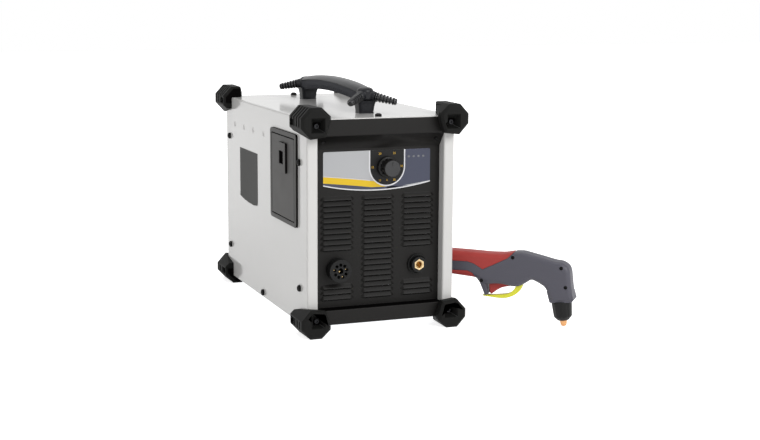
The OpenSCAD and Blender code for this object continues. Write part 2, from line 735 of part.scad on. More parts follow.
module fan_frame() color(moulding_black) difference() {
    union() {
        difference() {
            translate([fan_x, fan_y0, fan_z]) rotate([-90, 0, 0])
                linear_extrude(fan_depth) rounded(fan_size, fan_size, 4);
            bar_y([fan_x, fan_y0 - 1, fan_z], fan_depth + 2, 56);
        }
        bar_y([fan_x, fan_y0, fan_z], 5, 18);
        for (a = [0, 90, 180, 270]) translate([fan_x, fan_y0, fan_z]) rotate([0, a + 45, 0])
            translate([-2.5, 0, 15]) cube([5, 4, 42]);
    }
    bar_y([fan_x, fan_y0 - 1, fan_z], 7, 1.5 + play);
    for (sx = [-1, 1], sz = [-1, 1])
        bar_y([fan_x + 52.5 * sx, fan_y0 - 1, fan_z + 52.5 * sz], fan_depth + 2, hole_r);
}

module fan_rotor() color(rubber_black) translate([fan_x, fan_y0 + 6, fan_z]) {
    rotate([-90, 0, 0]) cylinder(h = 16, r = 20);
    rotate([90, 0, 0]) cylinder(h = 5, r = 1.5);
    for (i = [0:6]) rotate([0, 360 / 7 * i, 0]) translate([0, 8, 18]) rotate([0, 0, 35])
        translate([-14, -0.8, 0]) cube([28, 1.6, 36]);
}

module fan_grille() color(steel) {
    grille_y = rear_panel_y;
    for (r = [16:12:52]) translate([fan_x, grille_y + 2, fan_z]) rotate([90, 0, 0])
        rotate_extrude() translate([r, 0]) circle(1.1, $fn = 16);
    for (a = [45, 135]) translate([fan_x, grille_y + 3.4, fan_z]) rotate([0, a, 0])
        translate([0, 0, -74]) cylinder(h = 148, r = 1.1);
    for (sx = [-1, 1], sz = [-1, 1]) difference() {
        bar_y([fan_x + 52.5 * sx, grille_y, fan_z + 52.5 * sz], 4, 5);
        bar_y([fan_x + 52.5 * sx, grille_y - 1, fan_z + 52.5 * sz], 6, hole_r);
    }
}

// ---- compressor and air line ----

comp_x = -socket_x;
comp_y = 90;
comp_z = bottom_z + 62;

module compressor_motor() color(steel) {
    bar_y([comp_x, comp_y - 20, comp_z], 90, 34);
    bar_y([comp_x, comp_y + 70, comp_z], 8, 12);
    translate([comp_x - 30, comp_y - 10, comp_z - 36]) cube([60, 70, 10]);
}

module compressor_cylinder() color(aluminium) difference() {
    union() {
        translate([comp_x - 30, comp_y - 62, comp_z - 30]) cube([60, 42, 60]);
        bar_z([comp_x, comp_y - 41, comp_z + 30], 34, 20);
        for (i = [0:4]) bar_z([comp_x, comp_y - 41, comp_z + 36 + 5.5 * i], 2, 25);
        translate([comp_x - 24, comp_y - 65, comp_z + 64]) cube([48, 48, 12]);
    }
    bar_y([comp_x, comp_y - 66, comp_z + 70], 10, 3.1);
}

module compressor_mounts() color(rubber_black)
    for (x = [comp_x - 22, comp_x + 22], y = [comp_y, comp_y + 50])
        bar_z([x, y, tray_top], comp_z - 36 - tray_top, 8);

// Hose from the compressor head forward, down and on to the torch socket
hose_r = 3;
hose_bend = 12;
module hose_elbow(centre, turn) {
    translate(centre) rotate(turn) rotate_extrude(angle = 90) translate([hose_bend, 0]) circle(hose_r);
}
module air_hose() color([0.15, 0.25, 0.55]) {
    high = comp_z + 70;
    from_y = comp_y - 56.5;
    turn_y = comp_y - 110;
    down_y = turn_y - hose_bend;
    low_y = down_y - hose_bend;
    end_y = front_y + recess + 18.6;
    bar_y([comp_x, turn_y, high], from_y - turn_y, hose_r);
    hose_elbow([comp_x, turn_y, high - hose_bend], [90, 0, -90]);
    bar_z([comp_x, down_y, socket_z + hose_bend], high - socket_z - 2 * hose_bend, hose_r);
    hose_elbow([comp_x, low_y, socket_z + hose_bend], [0, 90, 0]);
    bar_y([comp_x, end_y, socket_z], low_y - end_y, hose_r);
}

// ---- power stage ----

module heatsink() color(aluminium) {
    translate([20, -150, tray_top + 40]) cube([84, 190, 6]);
    for (i = [0:8]) translate([20 + 10 * i, -150, tray_top]) cube([2.5, 190, 40]);
}

module power_board() color(board_green) {
    translate([18, -155, tray_top + 58]) cube([90, 200, 1.8]);
    for (x = [26, 98], y = [-140, 30]) bar_z([x, y, tray_top + 46], 12, 3);
}

module capacitors() color([0.15, 0.2, 0.4])
    for (x = [38, 72], y = [-125, -85]) bar_z([x, y, tray_top + 59.8], 45, 15);

module transformer() color([0.55, 0.35, 0.15]) difference() {
    union() {
        translate([30, -50, tray_top + 59.8]) cube([56, 64, 46]);
        translate([24, -34, tray_top + 65]) cube([68, 32, 36]);
    }
    for (x = [32, 76]) translate([x, -42, tray_top + 58]) cube([8, 5, 50]);
}

// ---- torch ----

// Floor point of the nozzle tip; the torch stands in an upright plane through it
tip_x = 276.5 + (side_x - 118);
tip_y = front_y - 70;
nozzle_tilt = 7;
edge_r = 6;

// Places in the torch's own frame: s backwards along the handle, h upwards
module torch_place() { translate([tip_x, tip_y, 0]) rotate([0, 0, torch_turn]) children(); }

// Outline in (s, h) drawn out across the handle from t0
module across(t0, t) { translate([0, t0 + t, 0]) rotate([90, 0, 0]) linear_extrude(t) children(); }

torch_outline = [
    [194, 110], [150, 109], [112, 108], [92, 110], [79, 113], [66, 113.5], [33, 106.5],
    [10, 102], [0, 99.5], [-6, 95], [-9, 88], [-12, 62], [-15.5, 43], [20.5, 38.5], [23.5, 48],
    [26, 56], [32, 63], [51, 72], [64, 63], [72, 59], [80, 58.3], [88, 59.5], [97, 61.2], [110, 60.8],
    [121, 59], [119, 42], [125, 42],
    [133, 61], [140, 69], [160, 70.5], [194, 73]
];
upper_grip_outline = [
    [200, 125], [200, 94], [152, 94.3], [142, 91.8], [127.5, 83.5], [112, 91], [88, 103.5], [74, 118]
];
lower_grip_outline = [[200, 60], [200, 79], [152, 80], [143.5, 76.5], [137, 66], [134, 55]];

// Leg behind the trigger, and the square lower end over the shield cup
leg_outline = [
    [118.6, 42.3], [125.1, 41.8], [133.5, 61.2], [138.5, 69], [128, 75], [121, 75], [122, 57.5]
];
neck_outline = [[-15.9, 44.5], [-12.5, 41], [20.5, 38.4], [23.5, 48], [24.5, 56], [-13.3, 56]];

// The whole handle with soft edges
module torch_form() {
    minkowski() {
        across(edge_r - torch_t / 2, torch_t - 2 * edge_r) offset(delta = -edge_r) polygon(torch_outline);
        sphere(edge_r, $fn = 12);
    }
    across(-11, 22) polygon(leg_outline);
    across(-14, 28) polygon(neck_outline);
}

grip_t_torch = 2.5;
trigger_pivot = [84, 64];
guard_pivot = [70, 64];

// Space inside the shells, and the pockets for the trigger and the guard
module torch_cavity() {
    wall = 3;
    across(-torch_t / 2 + wall, torch_t - 2 * wall) polygon([
        [185, 104], [110, 101], [78, 105], [35, 99], [5, 93], [-3, 84], [-7, 60], [-9, 50],
        [15, 48], [20, 64], [48, 80], [60, 76], [60, 70], [126, 70], [140, 80], [185, 82]
    ]);
    across(-6.5, 13) polygon([[78, 50], [121, 35], [121, 71], [80, 71]]);
    across(-6.5, 13) polygon([[60, 50], [81, 50], [81, 71], [60, 71]]);
    // lead hole in the rear end, and the seat of the head below
    translate([180, 0, 92]) rotate([0, 90, 0]) cylinder(h = 30, r = 7);
    torch_axis() translate([0, 0, 30]) cylinder(h = 30, r = 11);
    for (p = [trigger_pivot, guard_pivot])
        translate([p[0], -10, p[1]]) rotate([-90, 0, 0]) cylinder(h = 20, r = 2 + play);
    for (p = torch_screw_places) translate([p[0], 0, p[1]]) rotate([-90, 0, 0]) {
        translate([0, 0, -torch_t / 2 - 5]) cylinder(h = torch_t + 10, r = 1.6);
        translate([0, 0, torch_t / 2 - 4]) cylinder(h = 10, r = 3);
    }
}

torch_screw_places = [[80, 105], [4, 93.5], [-3.5, 64], [129.3, 65.5]];

module torch_axis() { rotate([0, nozzle_tilt, 0]) children(); }

// Skin where the soft grips lie
module grip_zone(outline) {
    difference() {
        across(-torch_t, 2 * torch_t) polygon(outline);
        across(grip_t_torch - torch_t / 2, torch_t - 2 * grip_t_torch)
            offset(delta = -grip_t_torch) polygon(torch_outline);
    }
}

module torch_shell(side) color(torch_grey) torch_place() difference() {
    intersection() {
        torch_form();
        translate([-50, side > 0 ? 0 : -40, 0]) cube([300, 40, 150]);
    }
    torch_cavity();
    grip_zone(upper_grip_outline);
    grip_zone(lower_grip_outline);
}
module torch_shell_left() torch_shell(1);
module torch_shell_right() torch_shell(-1);

module torch_grip(outline) color(torch_red) torch_place() difference() {
    intersection() {
        torch_form();
        grip_zone(outline);
    }
    translate([180, 0, 92]) rotate([0, 90, 0]) cylinder(h = 30, r = 7);
}
module torch_grip_upper() torch_grip(upper_grip_outline);
module torch_grip_lower() torch_grip(lower_grip_outline);

module torch_trigger() color(torch_red) torch_place() {
    difference() {
        across(-6, 12) polygon([
            [84.5, 57.8], [91.3, 56.6], [99.2, 54.5], [107.1, 49.4], [113.1, 44.2], [116.5, 43],
            [118.3, 48], [119, 56], [119, 63], [84.5, 63]
        ]);
        across(-4, 8) polygon([[95, 60.5], [115, 60.5], [115, 64], [95, 64]]);
    }
    across(-3, 6) polygon([[84, 61.5], [90, 59], [90, 66], [84, 66.5]]);
    translate([trigger_pivot[0], -9.5, trigger_pivot[1]]) rotate([-90, 0, 0]) cylinder(h = 19, r = 2);
}

module torch_guard() color(guard_yellow) torch_place() {
    across(-5.5, 11) polygon([
        [67, 66], [73, 66], [76.8, 57], [80.4, 51.6], [85.2, 47], [90.2, 45], [98, 43.4], [106, 42.4],
        [112, 41.8], [117, 41.1], [130, 41], [130, 39.2], [121, 38.6], [107, 37.4], [97, 37.4],
        [89, 38.8], [81, 42], [73.3, 47.4], [67.8, 54.5], [65.6, 61.4], [65.6, 65]
    ]);
    translate([guard_pivot[0], -9.5, guard_pivot[1]]) rotate([-90, 0, 0]) cylinder(h = 19, r = 2);
}

// Brass head with the electrode inside it
module torch_head() color(brass) torch_place() torch_axis() {
    translate([0, 0, 20]) cylinder(h = 36, r = 11);
    translate([0, 0, 56]) cylinder(h = 18, r = 7);
    translate([0, 0, 14]) cylinder(h = 6, r = 4);
}

module torch_shield_cup() color(rubber_black) torch_place() torch_axis() difference() {
    union() {
        translate([0, 0, 17]) cylinder(h = 22, r1 = cup_r - 1.8, r2 = cup_r);
        translate([0, 0, 10]) cylinder(h = 7, r1 = 8, r2 = cup_r - 1.8);
    }
    translate([0, 0, 20]) cylinder(h = 20, r = 11);
    translate([0, 0, 9]) cylinder(h = 12, r = 6);
}

module torch_nozzle() color(copper) torch_place() torch_axis() difference() {
    union() {
        translate([0, 0, 3]) cylinder(h = 17, r1 = 4.6, r2 = 6);
        translate([0, 0, 0.5]) cylinder(h = 2.5, r1 = 2.6, r2 = 4.6);
    }
    translate([0, 0, 8]) cylinder(h = 13, r = 4);
    cylinder(h = 10, r = 0.6);
}

module torch_screws() color(steel) torch_place()
    for (p = torch_screw_places) translate([p[0], 0, p[1]]) rotate([-90, 0, 0]) {
        translate([0, 0, 3.2 - torch_t / 2]) cylinder(h = torch_t - 7.2, r = 1.55);
        translate([0, 0, torch_t / 2 - 4]) difference() {
            cylinder(h = 2, r = 2.9);
            translate([0, 0, 1]) cylinder(h = 2, r = 1.3, $fn = 6);
        }
    }

cover();
base_tray();
front_panel();
rear_panel();
bumper_front_top_left();
bumper_front_top_right();
bumper_front_bottom_left();
bumper_front_bottom_right();
bumper_rear_top_left();
bumper_rear_top_right();
bumper_rear_bottom_left();
bumper_rear_bottom_right();
bumper_screws();
cover_screws();
handle_grip();
handle_foot_front();
handle_foot_rear();
handle_screws();
control_overlay();
indicator_lights();
control_board();
potentiometer();
potentiometer_shaft();
current_knob();
torch_socket();
torch_socket_insert();
torch_socket_nut();
earth_socket();
earth_contact();
earth_nut();
door_frame();
side_door();
door_hinge_pin();
door_latch();
consumables_bin();
side_plate();
switch_housing();
switch_rocker();
mains_gland();
fan_frame();
fan_rotor();
fan_grille();
compressor_cylinder();
compressor_motor();
compressor_mounts();
air_hose();
power_board();
heatsink();
transformer();
capacitors();
torch_shell_left();
torch_shell_right();
torch_grip_upper();
torch_grip_lower();
torch_trigger();
torch_guard();
torch_head();
torch_shield_cup();
torch_nozzle();
torch_screws();
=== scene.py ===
"""Looks of the plasma cutting unit: detailed pieces, materials, light and camera.

They stand in the CAD frame. Shapes are drawn in millimetres on a seat, which carries them to
their place in metres.
"""

import json
import math

import bmesh
import bpy
from mathutils import Matrix, Vector

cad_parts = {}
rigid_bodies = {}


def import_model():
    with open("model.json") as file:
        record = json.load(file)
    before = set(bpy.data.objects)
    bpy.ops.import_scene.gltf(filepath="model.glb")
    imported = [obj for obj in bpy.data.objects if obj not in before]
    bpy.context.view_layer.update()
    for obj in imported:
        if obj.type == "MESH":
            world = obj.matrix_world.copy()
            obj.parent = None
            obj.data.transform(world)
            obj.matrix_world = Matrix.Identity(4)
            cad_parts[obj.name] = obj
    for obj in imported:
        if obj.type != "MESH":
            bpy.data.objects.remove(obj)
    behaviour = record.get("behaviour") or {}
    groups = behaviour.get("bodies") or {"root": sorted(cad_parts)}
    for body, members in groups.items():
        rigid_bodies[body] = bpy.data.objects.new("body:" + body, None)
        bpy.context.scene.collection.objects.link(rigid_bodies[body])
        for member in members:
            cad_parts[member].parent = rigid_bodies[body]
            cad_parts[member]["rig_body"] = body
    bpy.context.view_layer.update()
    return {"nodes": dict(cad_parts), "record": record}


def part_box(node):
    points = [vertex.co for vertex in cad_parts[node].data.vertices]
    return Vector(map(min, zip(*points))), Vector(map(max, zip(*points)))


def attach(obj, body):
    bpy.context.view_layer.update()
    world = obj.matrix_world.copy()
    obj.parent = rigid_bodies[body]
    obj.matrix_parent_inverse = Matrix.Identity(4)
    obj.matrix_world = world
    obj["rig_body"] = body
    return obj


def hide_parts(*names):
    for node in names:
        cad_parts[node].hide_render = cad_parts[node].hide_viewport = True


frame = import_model()

MM = 0.001
X, Y, Z = Vector((1, 0, 0)), Vector((0, 1, 0)), Vector((0, 0, 1))
SLOT_OF = {part["node"]: part["material_slot"] for part in frame["record"]["subparts"]}

# Main planes of the case, from the cover's box
case_low, case_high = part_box("cover")
SIDE_X, FRONT_Y, REAR_Y = case_high.x, case_low.y, case_high.y
BOTTOM_Z, TOP_Z = case_low.z, case_high.z
overlay_low, overlay_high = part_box("control_overlay")
PANEL_Y = overlay_high.y
POST_W = 17
POST_IN = SIDE_X - POST_W * MM


# ---- materials ----

DRIFT_SCALE, FINE_SHARE, RELIEF_DEPTH = 22, 0.35, 0.2 * MM


def srgb(red, green, blue):
    """A screen colour from 0 to 255 as the linear colour that a shader takes."""
    scaled = [c / 255 for c in (red, green, blue)]
    return tuple(c / 12.92 if c <= 0.04045 else ((c + 0.055) / 1.055) ** 2.4 for c in scaled) + (1,)


def finish_of(name, rgb, rough, metal=0.0, grain=1400, bump=0.08, tone=0.1, spread=0.06,
              stretch=(1, 1, 1), shine=0.5):
    """A surface with fine grain, a slow drift of tone and uneven gloss, all in object space."""
    colour = srgb(*rgb)
    material = bpy.data.materials.new(name)
    material.use_nodes = True
    nodes, links = material.node_tree.nodes, material.node_tree.links
    shader = nodes["Principled BSDF"]
    shader.inputs["Metallic"].default_value = metal
    shader.inputs["Specular IOR Level"].default_value = shine
    place = nodes.new("ShaderNodeTexCoord")
    mapping = nodes.new("ShaderNodeMapping")
    mapping.inputs["Scale"].default_value = stretch
    links.new(place.outputs["Object"], mapping.inputs["Vector"])
    fine = nodes.new("ShaderNodeTexNoise")
    fine.inputs["Scale"].default_value = grain
    fine.inputs["Detail"].default_value = 3
    broad = nodes.new("ShaderNodeTexNoise")
    broad.inputs["Scale"].default_value = DRIFT_SCALE
    broad.inputs["Detail"].default_value = 5
    for texture in (fine, broad):
        links.new(mapping.outputs["Vector"], texture.inputs["Vector"])
    blend = nodes.new("ShaderNodeMix")
    blend.inputs["Factor"].default_value = FINE_SHARE
    links.new(broad.outputs["Fac"], blend.inputs["A"])
    links.new(fine.outputs["Fac"], blend.inputs["B"])
    tint = nodes.new("ShaderNodeMix")
    tint.data_type = "RGBA"
    darker = tuple(c * (1 - tone) for c in colour[:3]) + (1,)
    lighter = tuple(min(1, c * (1 + tone)) for c in colour[:3]) + (1,)
    tint.inputs["A"].default_value = darker
    tint.inputs["B"].default_value = lighter
    links.new(blend.outputs["Result"], tint.inputs["Factor"])
    links.new(tint.outputs["Result"], shader.inputs["Base Color"])
    gloss = nodes.new("ShaderNodeMapRange")
    gloss.inputs["To Min"].default_value = rough - spread
    gloss.inputs["To Max"].default_value = rough + spread
    links.new(broad.outputs["Fac"], gloss.inputs["Value"])
    links.new(gloss.outputs["Result"], shader.inputs["Roughness"])
    relief = nodes.new("ShaderNodeBump")
    relief.inputs["Strength"].default_value = bump
    relief.inputs["Distance"].default_value = RELIEF_DEPTH
    links.new(fine.outputs["Fac"], relief.inputs["Height"])
    links.new(relief.outputs["Normal"], shader.inputs["Normal"])
    return material


def finishes(prefix, table):
    """One finish for each row of a table."""
    return {
        name: finish_of(prefix + name, rgb, rough, **more)
        for name, (rgb, rough, more) in table.items()
    }


LOOKS = finishes("", {
    "cover_paint": ((203, 202, 200), 0.13, dict(tone=0.02, spread=0.03, bump=0.015, shine=0.33)),
    "front_black": ((24, 23, 22), 0.5, dict(bump=0.25, tone=0.12, shine=0.15)),
    "rear_black": ((30, 29, 27), 0.5, dict(bump=0.2, tone=0.12, shine=0.15)),
    "bumper_rubber": ((20, 20, 19), 0.6, dict(grain=900, bump=0.3, shine=0.1)),
    "zinc_steel": ((190, 192, 195), 0.34, dict(metal=1, stretch=(1, 1, 6))),
    "black_steel": ((9, 9, 9), 0.4, dict(bump=0.1, shine=0.12)),
    "handle_plastic": ((25, 26, 30), 0.3, dict(bump=0.12, shine=0.2)),
    "overlay_film": ((170, 171, 173), 0.35, dict(tone=0.03, bump=0.05, shine=0.3)),
    "lens_clear": ((104, 106, 112), 0.15, dict(tone=0.05, bump=0.02, shine=0.3)),
    "circuit_board": ((24, 88, 50), 0.4, dict(bump=0.1)),
    "aluminium_raw": ((200, 202, 205), 0.38, dict(metal=1, stretch=(1, 8, 1))),
    "black_plastic": ((18, 18, 18), 0.42, dict(bump=0.15, shine=0.18)),
    "brass_plain": ((200, 172, 122), 0.3, dict(metal=1, bump=0.05)),
    "door_plastic": ((80, 79, 78), 0.55, dict(bump=0.25, tone=0.05, shine=0.12)),
    "plate_grey": ((107, 107, 106), 0.5, dict(tone=0.05, stretch=(1, 10, 1), shine=0.0)),
    "rocker_red": ((170, 24, 24), 0.25, dict(bump=0.03)),
    "motor_steel": ((88, 88, 92), 0.5, dict(bump=0.2)),
    "hose_blue": ((30, 60, 150), 0.3, dict(bump=0.05)),
    "transformer_core": ((96, 80, 66), 0.6, dict(bump=0.4)),
    "capacitor_sleeve": ((36, 44, 92), 0.3, dict(bump=0.05)),
    "torch_grey": ((65, 64, 74), 0.5, dict(bump=0.2, tone=0.06)),
    "torch_red": ((160, 56, 52), 0.55, dict(bump=0.25, tone=0.06, shine=0.3)),
    "guard_yellow": ((225, 224, 50), 0.35, dict(tone=0.05, bump=0.05)),
    "nozzle_copper": ((214, 160, 108), 0.34, dict(metal=0.7, bump=0.1)),
})
PRINTS = finishes("print_", {
    "white": ((214, 214, 216), 0.35, dict(tone=0.02, bump=0.03, shine=0.3)),
    "yellow": ((214, 178, 32), 0.35, dict(tone=0.03, bump=0.03, shine=0.3)),
    "slate": ((65, 68, 84), 0.35, dict(tone=0.04, bump=0.03, shine=0.25)),
    "black": ((12, 12, 12), 0.38, dict(tone=0.06, bump=0.05, shine=0.2)),
    "gold": ((206, 164, 50), 0.4, dict(tone=0.04, bump=0.03, shine=0.3)),
})
# Painted shade: a flat black with no sheen, laid where gaps, grooves and the ledge above the bar
# fall in shade.
PAINTED_SHADE_BLACK = finish_of("painted_shade_black", (12, 11, 11), 0.5, bump=0.2, tone=0.12, shine=0.0)
# Painted shade: a darker copy of the panel's black for the louvre hoods, so they read as shaded
# against the flat panel.
LOUVRE_SHADE_BLACK = finish_of("louvre_shade_black", (22, 21, 20), 0.45, bump=0.2, tone=0.12, shine=0.13)
DARK_STEEL = finish_of("dark_steel", (46, 46, 48), 0.42, metal=1, bump=0.05)
# Painted highlight: a pale, glossy grey for the bead that stands for the light line down one crease
# of each dark rubber funnel.
BEAD_HIGHLIGHT_GREY = finish_of("bead_highlight", (70, 70, 70), 0.25, bump=0.1, shine=0.8)
RIM_BRASS = finish_of("rim_brass", (204, 180, 138), 0.42, metal=0.8, bump=0.05)
GRIP_MATT = finish_of("grip_matt", (64, 65, 69), 0.6, bump=0.25, shine=0.04)
HORN_GLOSS = finish_of("horn_gloss", (20, 21, 24), 0.25, bump=0.1, shine=0.6)
KNOB_FACE = finish_of("knob_face", (48, 48, 49), 0.35, bump=0.1, tone=0.06, shine=0.3)


# ---- shapes ----


def seat(origin, u, v):
    """Where a shape in millimetres goes: its x along u, its y along v, its z along u x v."""
    u, v = Vector(u).normalized(), Vector(v).normalized()
    matrix = Matrix((u, v, u.cross(v))).transposed().to_4x4() @ Matrix.Scale(MM, 4)
    matrix.translation = Vector(origin)
    return matrix


def front_seat(x, z, y=PANEL_Y):
    """On a plane that faces the front: x to the right, y up, z towards the viewer."""
    return seat((x, y, z), X, Z)


def polar(radius, angle, height):
    """The point at a radius and an angle in radians round z."""
    return (radius * math.cos(angle), radius * math.sin(angle), height)


def turned_rings(profile, steps, dent=lambda angle, radius, height: 0):
    """A ring of points round z for each (radius, height), each point sunk by what dent gives."""
    angles = [2 * math.pi * k / steps for k in range(steps)]
    return [[polar(r - dent(a, r, h), a, h) for a in angles] for r, h in profile]


def joined_rings(bm, rings, at, closed=False):
    """Draws rings of equally many points, with faces from each to the next."""
    made = [[bm.verts.new(at @ Vector(p)) for p in ring] for ring in rings]
    chain = made + made[:1] if closed else made
    for low, high in zip(chain, chain[1:]):
        for i in range(len(low)):
            j = (i + 1) % len(low)
            bm.faces.new((low[i], low[j], high[j], high[i]))
    return made


def add_loft(bm, rings, at, closed=False):
    """Skins rings of points; the ends are capped unless the rings close in a circle."""
    made = joined_rings(bm, rings, at, closed)
    if not closed:
        bm.faces.new(list(reversed(made[0])))
        bm.faces.new(made[-1])


def add_prism(bm, outline, low, high, at):
    """Draws an outline out along z from low to high."""
    add_loft(bm, [[(x, y, z) for x, y in outline] for z in (low, high)], at)


def lofted(rings, at, closed=False):
    bm = bmesh.new()
    add_loft(bm, rings, at, closed)
    return bm


def prism(outline, low, high, at):
    bm = bmesh.new()
    add_prism(bm, outline, low, high, at)
    return bm


def add_lathe(bm, profile, at, steps=48):
    """Turns (radius, height) points round z. A first or last radius of 0 closes with a point."""
    made = joined_rings(bm, turned_rings([p for p in profile if p[0] > 0], steps), at)
    for (radius, height), ring in ((profile[0], made[0]), (profile[-1], made[-1])):
        if radius > 0:
            bm.faces.new(ring)
            continue
        tip = bm.verts.new(at @ Vector((0, 0, height)))
        for i in range(steps):
            bm.faces.new((ring[i], ring[(i + 1) % steps], tip))


def arc(centre, radius, start, end, steps):
    """Points on an arc, angles in degrees."""
    points = []
    for k in range(steps + 1):
        turn = math.radians(start + (end - start) * k / steps)
        points.append((centre[0] + radius * math.cos(turn), centre[1] + radius * math.sin(turn)))
    return points


def circle(centre, radius, count=48, start=0):
    """A closed ring of points; six of them make a hexagon."""
    return arc(centre, radius, start, start + 360 - 360 / count, count - 1)


def round_rect(width, height, radius, steps=6):
    """Outline of a rectangle with round corners, centred."""
    w, h = width / 2 - radius, height / 2 - radius
    corners = ((w, h, 0), (-w, h, 90), (-w, -h, 180), (w, -h, 270))
    return [p for cx, cy, turn in corners for p in arc((cx, cy), radius, turn, turn + 90, steps)]


def inset(outline, distance):
    """An outline in either sense, moved inwards by a distance, corner for corner."""
    edges = list(zip(outline, outline[1:] + outline[:1]))
    turn = 1 if sum(a[0] * b[1] - b[0] * a[1] for a, b in edges) > 0 else -1
    along = [(Vector(b) - Vector(a)).normalized() for a, b in edges]
    inwards = [Vector((-d.y, d.x)) * turn for d in along]
    moved = []
    for point, before, after in zip(outline, inwards[-1:] + inwards[:-1], inwards):
        corner = (before + after) / (1 + before.dot(after))
        moved.append(tuple(Vector(point) + corner * distance))
    return moved


CORNER_SHARE = 0.45


def fillet(outline, cut, steps=5):
    """Rounds each corner of an outline by a curve that starts the cut length before it."""
    rounded = []
    count = len(outline)
    for i in range(count):
        before, here, after = (Vector(outline[j % count]) for j in (i - 1, i, i + 1))
        start, end = (
            here + (other - here).normalized() * min(cut, CORNER_SHARE * (other - here).length)
            for other in (before, after)
        )
        for k in range(steps + 1):
            t = k / steps
            rounded.append(tuple((1 - t) ** 2 * start + 2 * t * (1 - t) * here + t ** 2 * end))
    return rounded


def pillow(outline, half, soft, cut, at, steps=6):
    """A new shape: an outline drawn out to both sides of its plane, with soft round rims."""
    rings = []
    for side in (-1, 1):
        for k in range(steps + 1):
            turn = math.pi / 2 * (k if side > 0 else steps - k) / steps
            depth = half - soft + soft * math.sin(turn)
            ring = fillet(inset(outline, soft * (1 - math.cos(turn))), cut)
            rings.append([(x, y, side * depth) for x, y in ring])
    return lofted(rings, at)


JOIN_DISTANCE = 2e-6
FLAT_ANGLE = math.radians(0.4)
ROUNDED_ANGLE = math.radians(32)


def tidy(bm):
    """Joins split points and merges flat neighbours into whole faces."""
    bmesh.ops.remove_doubles(bm, verts=bm.verts, dist=JOIN_DISTANCE)
    bmesh.ops.dissolve_limit(bm, angle_limit=FLAT_ANGLE, verts=bm.verts, edges=bm.edges)


def round_edges(bm, width, segments=2):
    """Rounds every sharp edge."""
    sharp = [
        e for e in bm.edges if len(e.link_faces) == 2 and e.calc_face_angle(0) > ROUNDED_ANGLE
    ]
    bmesh.ops.bevel(bm, geom=sharp, offset=width * MM, segments=segments, profile=0.5,
                    affect="EDGES", clamp_overlap=False, miter_outer="ARC")


def placed(name, data):
    """A new object in the scene for a mesh, text, lamp or camera."""
    obj = bpy.data.objects.new(name, data)
    bpy.context.scene.collection.objects.link(obj)
    return obj


def object_from(name, bm):
    """Puts a shape into the scene as an object and frees it."""
    mesh = bpy.data.meshes.new(name)
    bm.to_mesh(mesh)
    bm.free()
    return placed(name, mesh)


def shape_of(obj):
    """What an object shows after its modifiers, as a new shape."""
    graph = bpy.context.evaluated_depsgraph_get()
    shape = bmesh.new()
    shape.from_mesh(obj.evaluated_get(graph).to_mesh())
    return shape


def discard(obj):
    mesh = obj.data
    bpy.data.objects.remove(obj)
    bpy.data.meshes.remove(mesh)


def solid_op(bm, tool, operation):
    """Joins, cuts or intersects two closed shapes and gives the result as a new one."""
    for shape in (bm, tool):
        bmesh.ops.recalc_face_normals(shape, faces=shape.faces)
    parts = [object_from("part", shape) for shape in (bm, tool)]
    boolean = parts[0].modifiers.new("boolean", "BOOLEAN")
    boolean.operation, boolean.solver, boolean.object = operation, "EXACT", parts[1]
    boolean.use_self = True
    result = shape_of(parts[0])
    for part in parts:
        discard(part)
    tidy(result)
    return result


def piece(name, bm, body, slot, material=None, replaces=(), bevel=0.0, sharp=32):
    """Makes the finished object, puts it on its body and gives it its material."""
    bmesh.ops.recalc_face_normals(bm, faces=bm.faces)
    if bevel:
        round_edges(bm, bevel)
    obj = object_from(name, bm)
    mesh = obj.data
    mesh.shade_smooth()
    mesh.set_sharp_from_angle(angle=math.radians(sharp))
    mesh.materials.append(material or LOOKS[slot])
    normals = obj.modifiers.new("normals", "WEIGHTED_NORMAL")
    normals.keep_sharp = True
    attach(obj, body)
    if replaces:
        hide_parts(*replaces)


def body_of(node):
    return frame["nodes"][node]["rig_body"]


def copy_of(node):
    """The CAD node's own shape, cleaned, as the start of its finished piece."""
    bm = bmesh.new()
    bm.from_mesh(frame["nodes"][node].data)
    tidy(bm)
    return bm


def dress(node, bevel):
    """The CAD node's shape with rounded edges takes the node's place."""
    piece(node + "_shape", copy_of(node), body_of(node), SLOT_OF[node], replaces=(node,),
          bevel=bevel)


# ---- plain parts: the CAD shape with rounded edges ----

EDGE_WIDTHS = {
    0.25: ["base_tray", "side_plate", "control_board", "power_board", "door_hinge_pin",
           "potentiometer", "potentiometer_shaft", "torch_screws", "handle_screws",
           "torch_socket_nut", "earth_nut", "fan_grille"],
    0.4: ["consumables_bin", "switch_housing", "switch_rocker", "mains_gland", "fan_frame",
          "fan_rotor", "heatsink", "compressor_mounts", "torch_socket", "earth_socket",
          "cover_screws", "torch_head"],
    0.7: ["compressor_cylinder", "compressor_motor", "air_hose", "transformer", "capacitors"],
}


def rear_panel():
    """The rear moulding keeps its CAD faces: its slots stand too close for rounded edges."""
    bm = bmesh.new()
    bm.from_mesh(frame["nodes"]["rear_panel"].data)
    bmesh.ops.remove_doubles(bm, verts=bm.verts, dist=JOIN_DISTANCE)
    piece("rear_panel_shape", bm, "case", "rear_black", replaces=("rear_panel",))


def plain_parts():
    for width, nodes in EDGE_WIDTHS.items():
        for node in nodes:
            dress(node, width)


# ---- cover ----

DIMPLES_Y = (166.5, 111, 57, -2)
DIMPLE_Z = 282
DIMPLE = [(0, -1.25), (2.4, -1.15), (4.4, -0.7), (5.8, 0), (6.4, 0.8), (0, 0.8)]
COVER_ROUND = 0.25


def cover():
    """The folded cover, with a row of shallow pressed dimples high on each side."""
    bm = copy_of("cover")
    round_edges(bm, COVER_ROUND)
    dishes = bmesh.new()
    for side in (-1, 1):
        for y in DIMPLES_Y:
            at = seat((side * SIDE_X, y * MM, DIMPLE_Z * MM), Y * side, Z)
            add_lathe(dishes, DIMPLE, at, 32)
    pressed = solid_op(bm, dishes, "DIFFERENCE")
    piece("cover_shell", pressed, "case", "cover_paint", replaces=("cover",))


# ---- door, its frame and latch: a grey outer skin over painted shade ----

SKIN_CORNER = 1.5
SKIN_REACH = 2


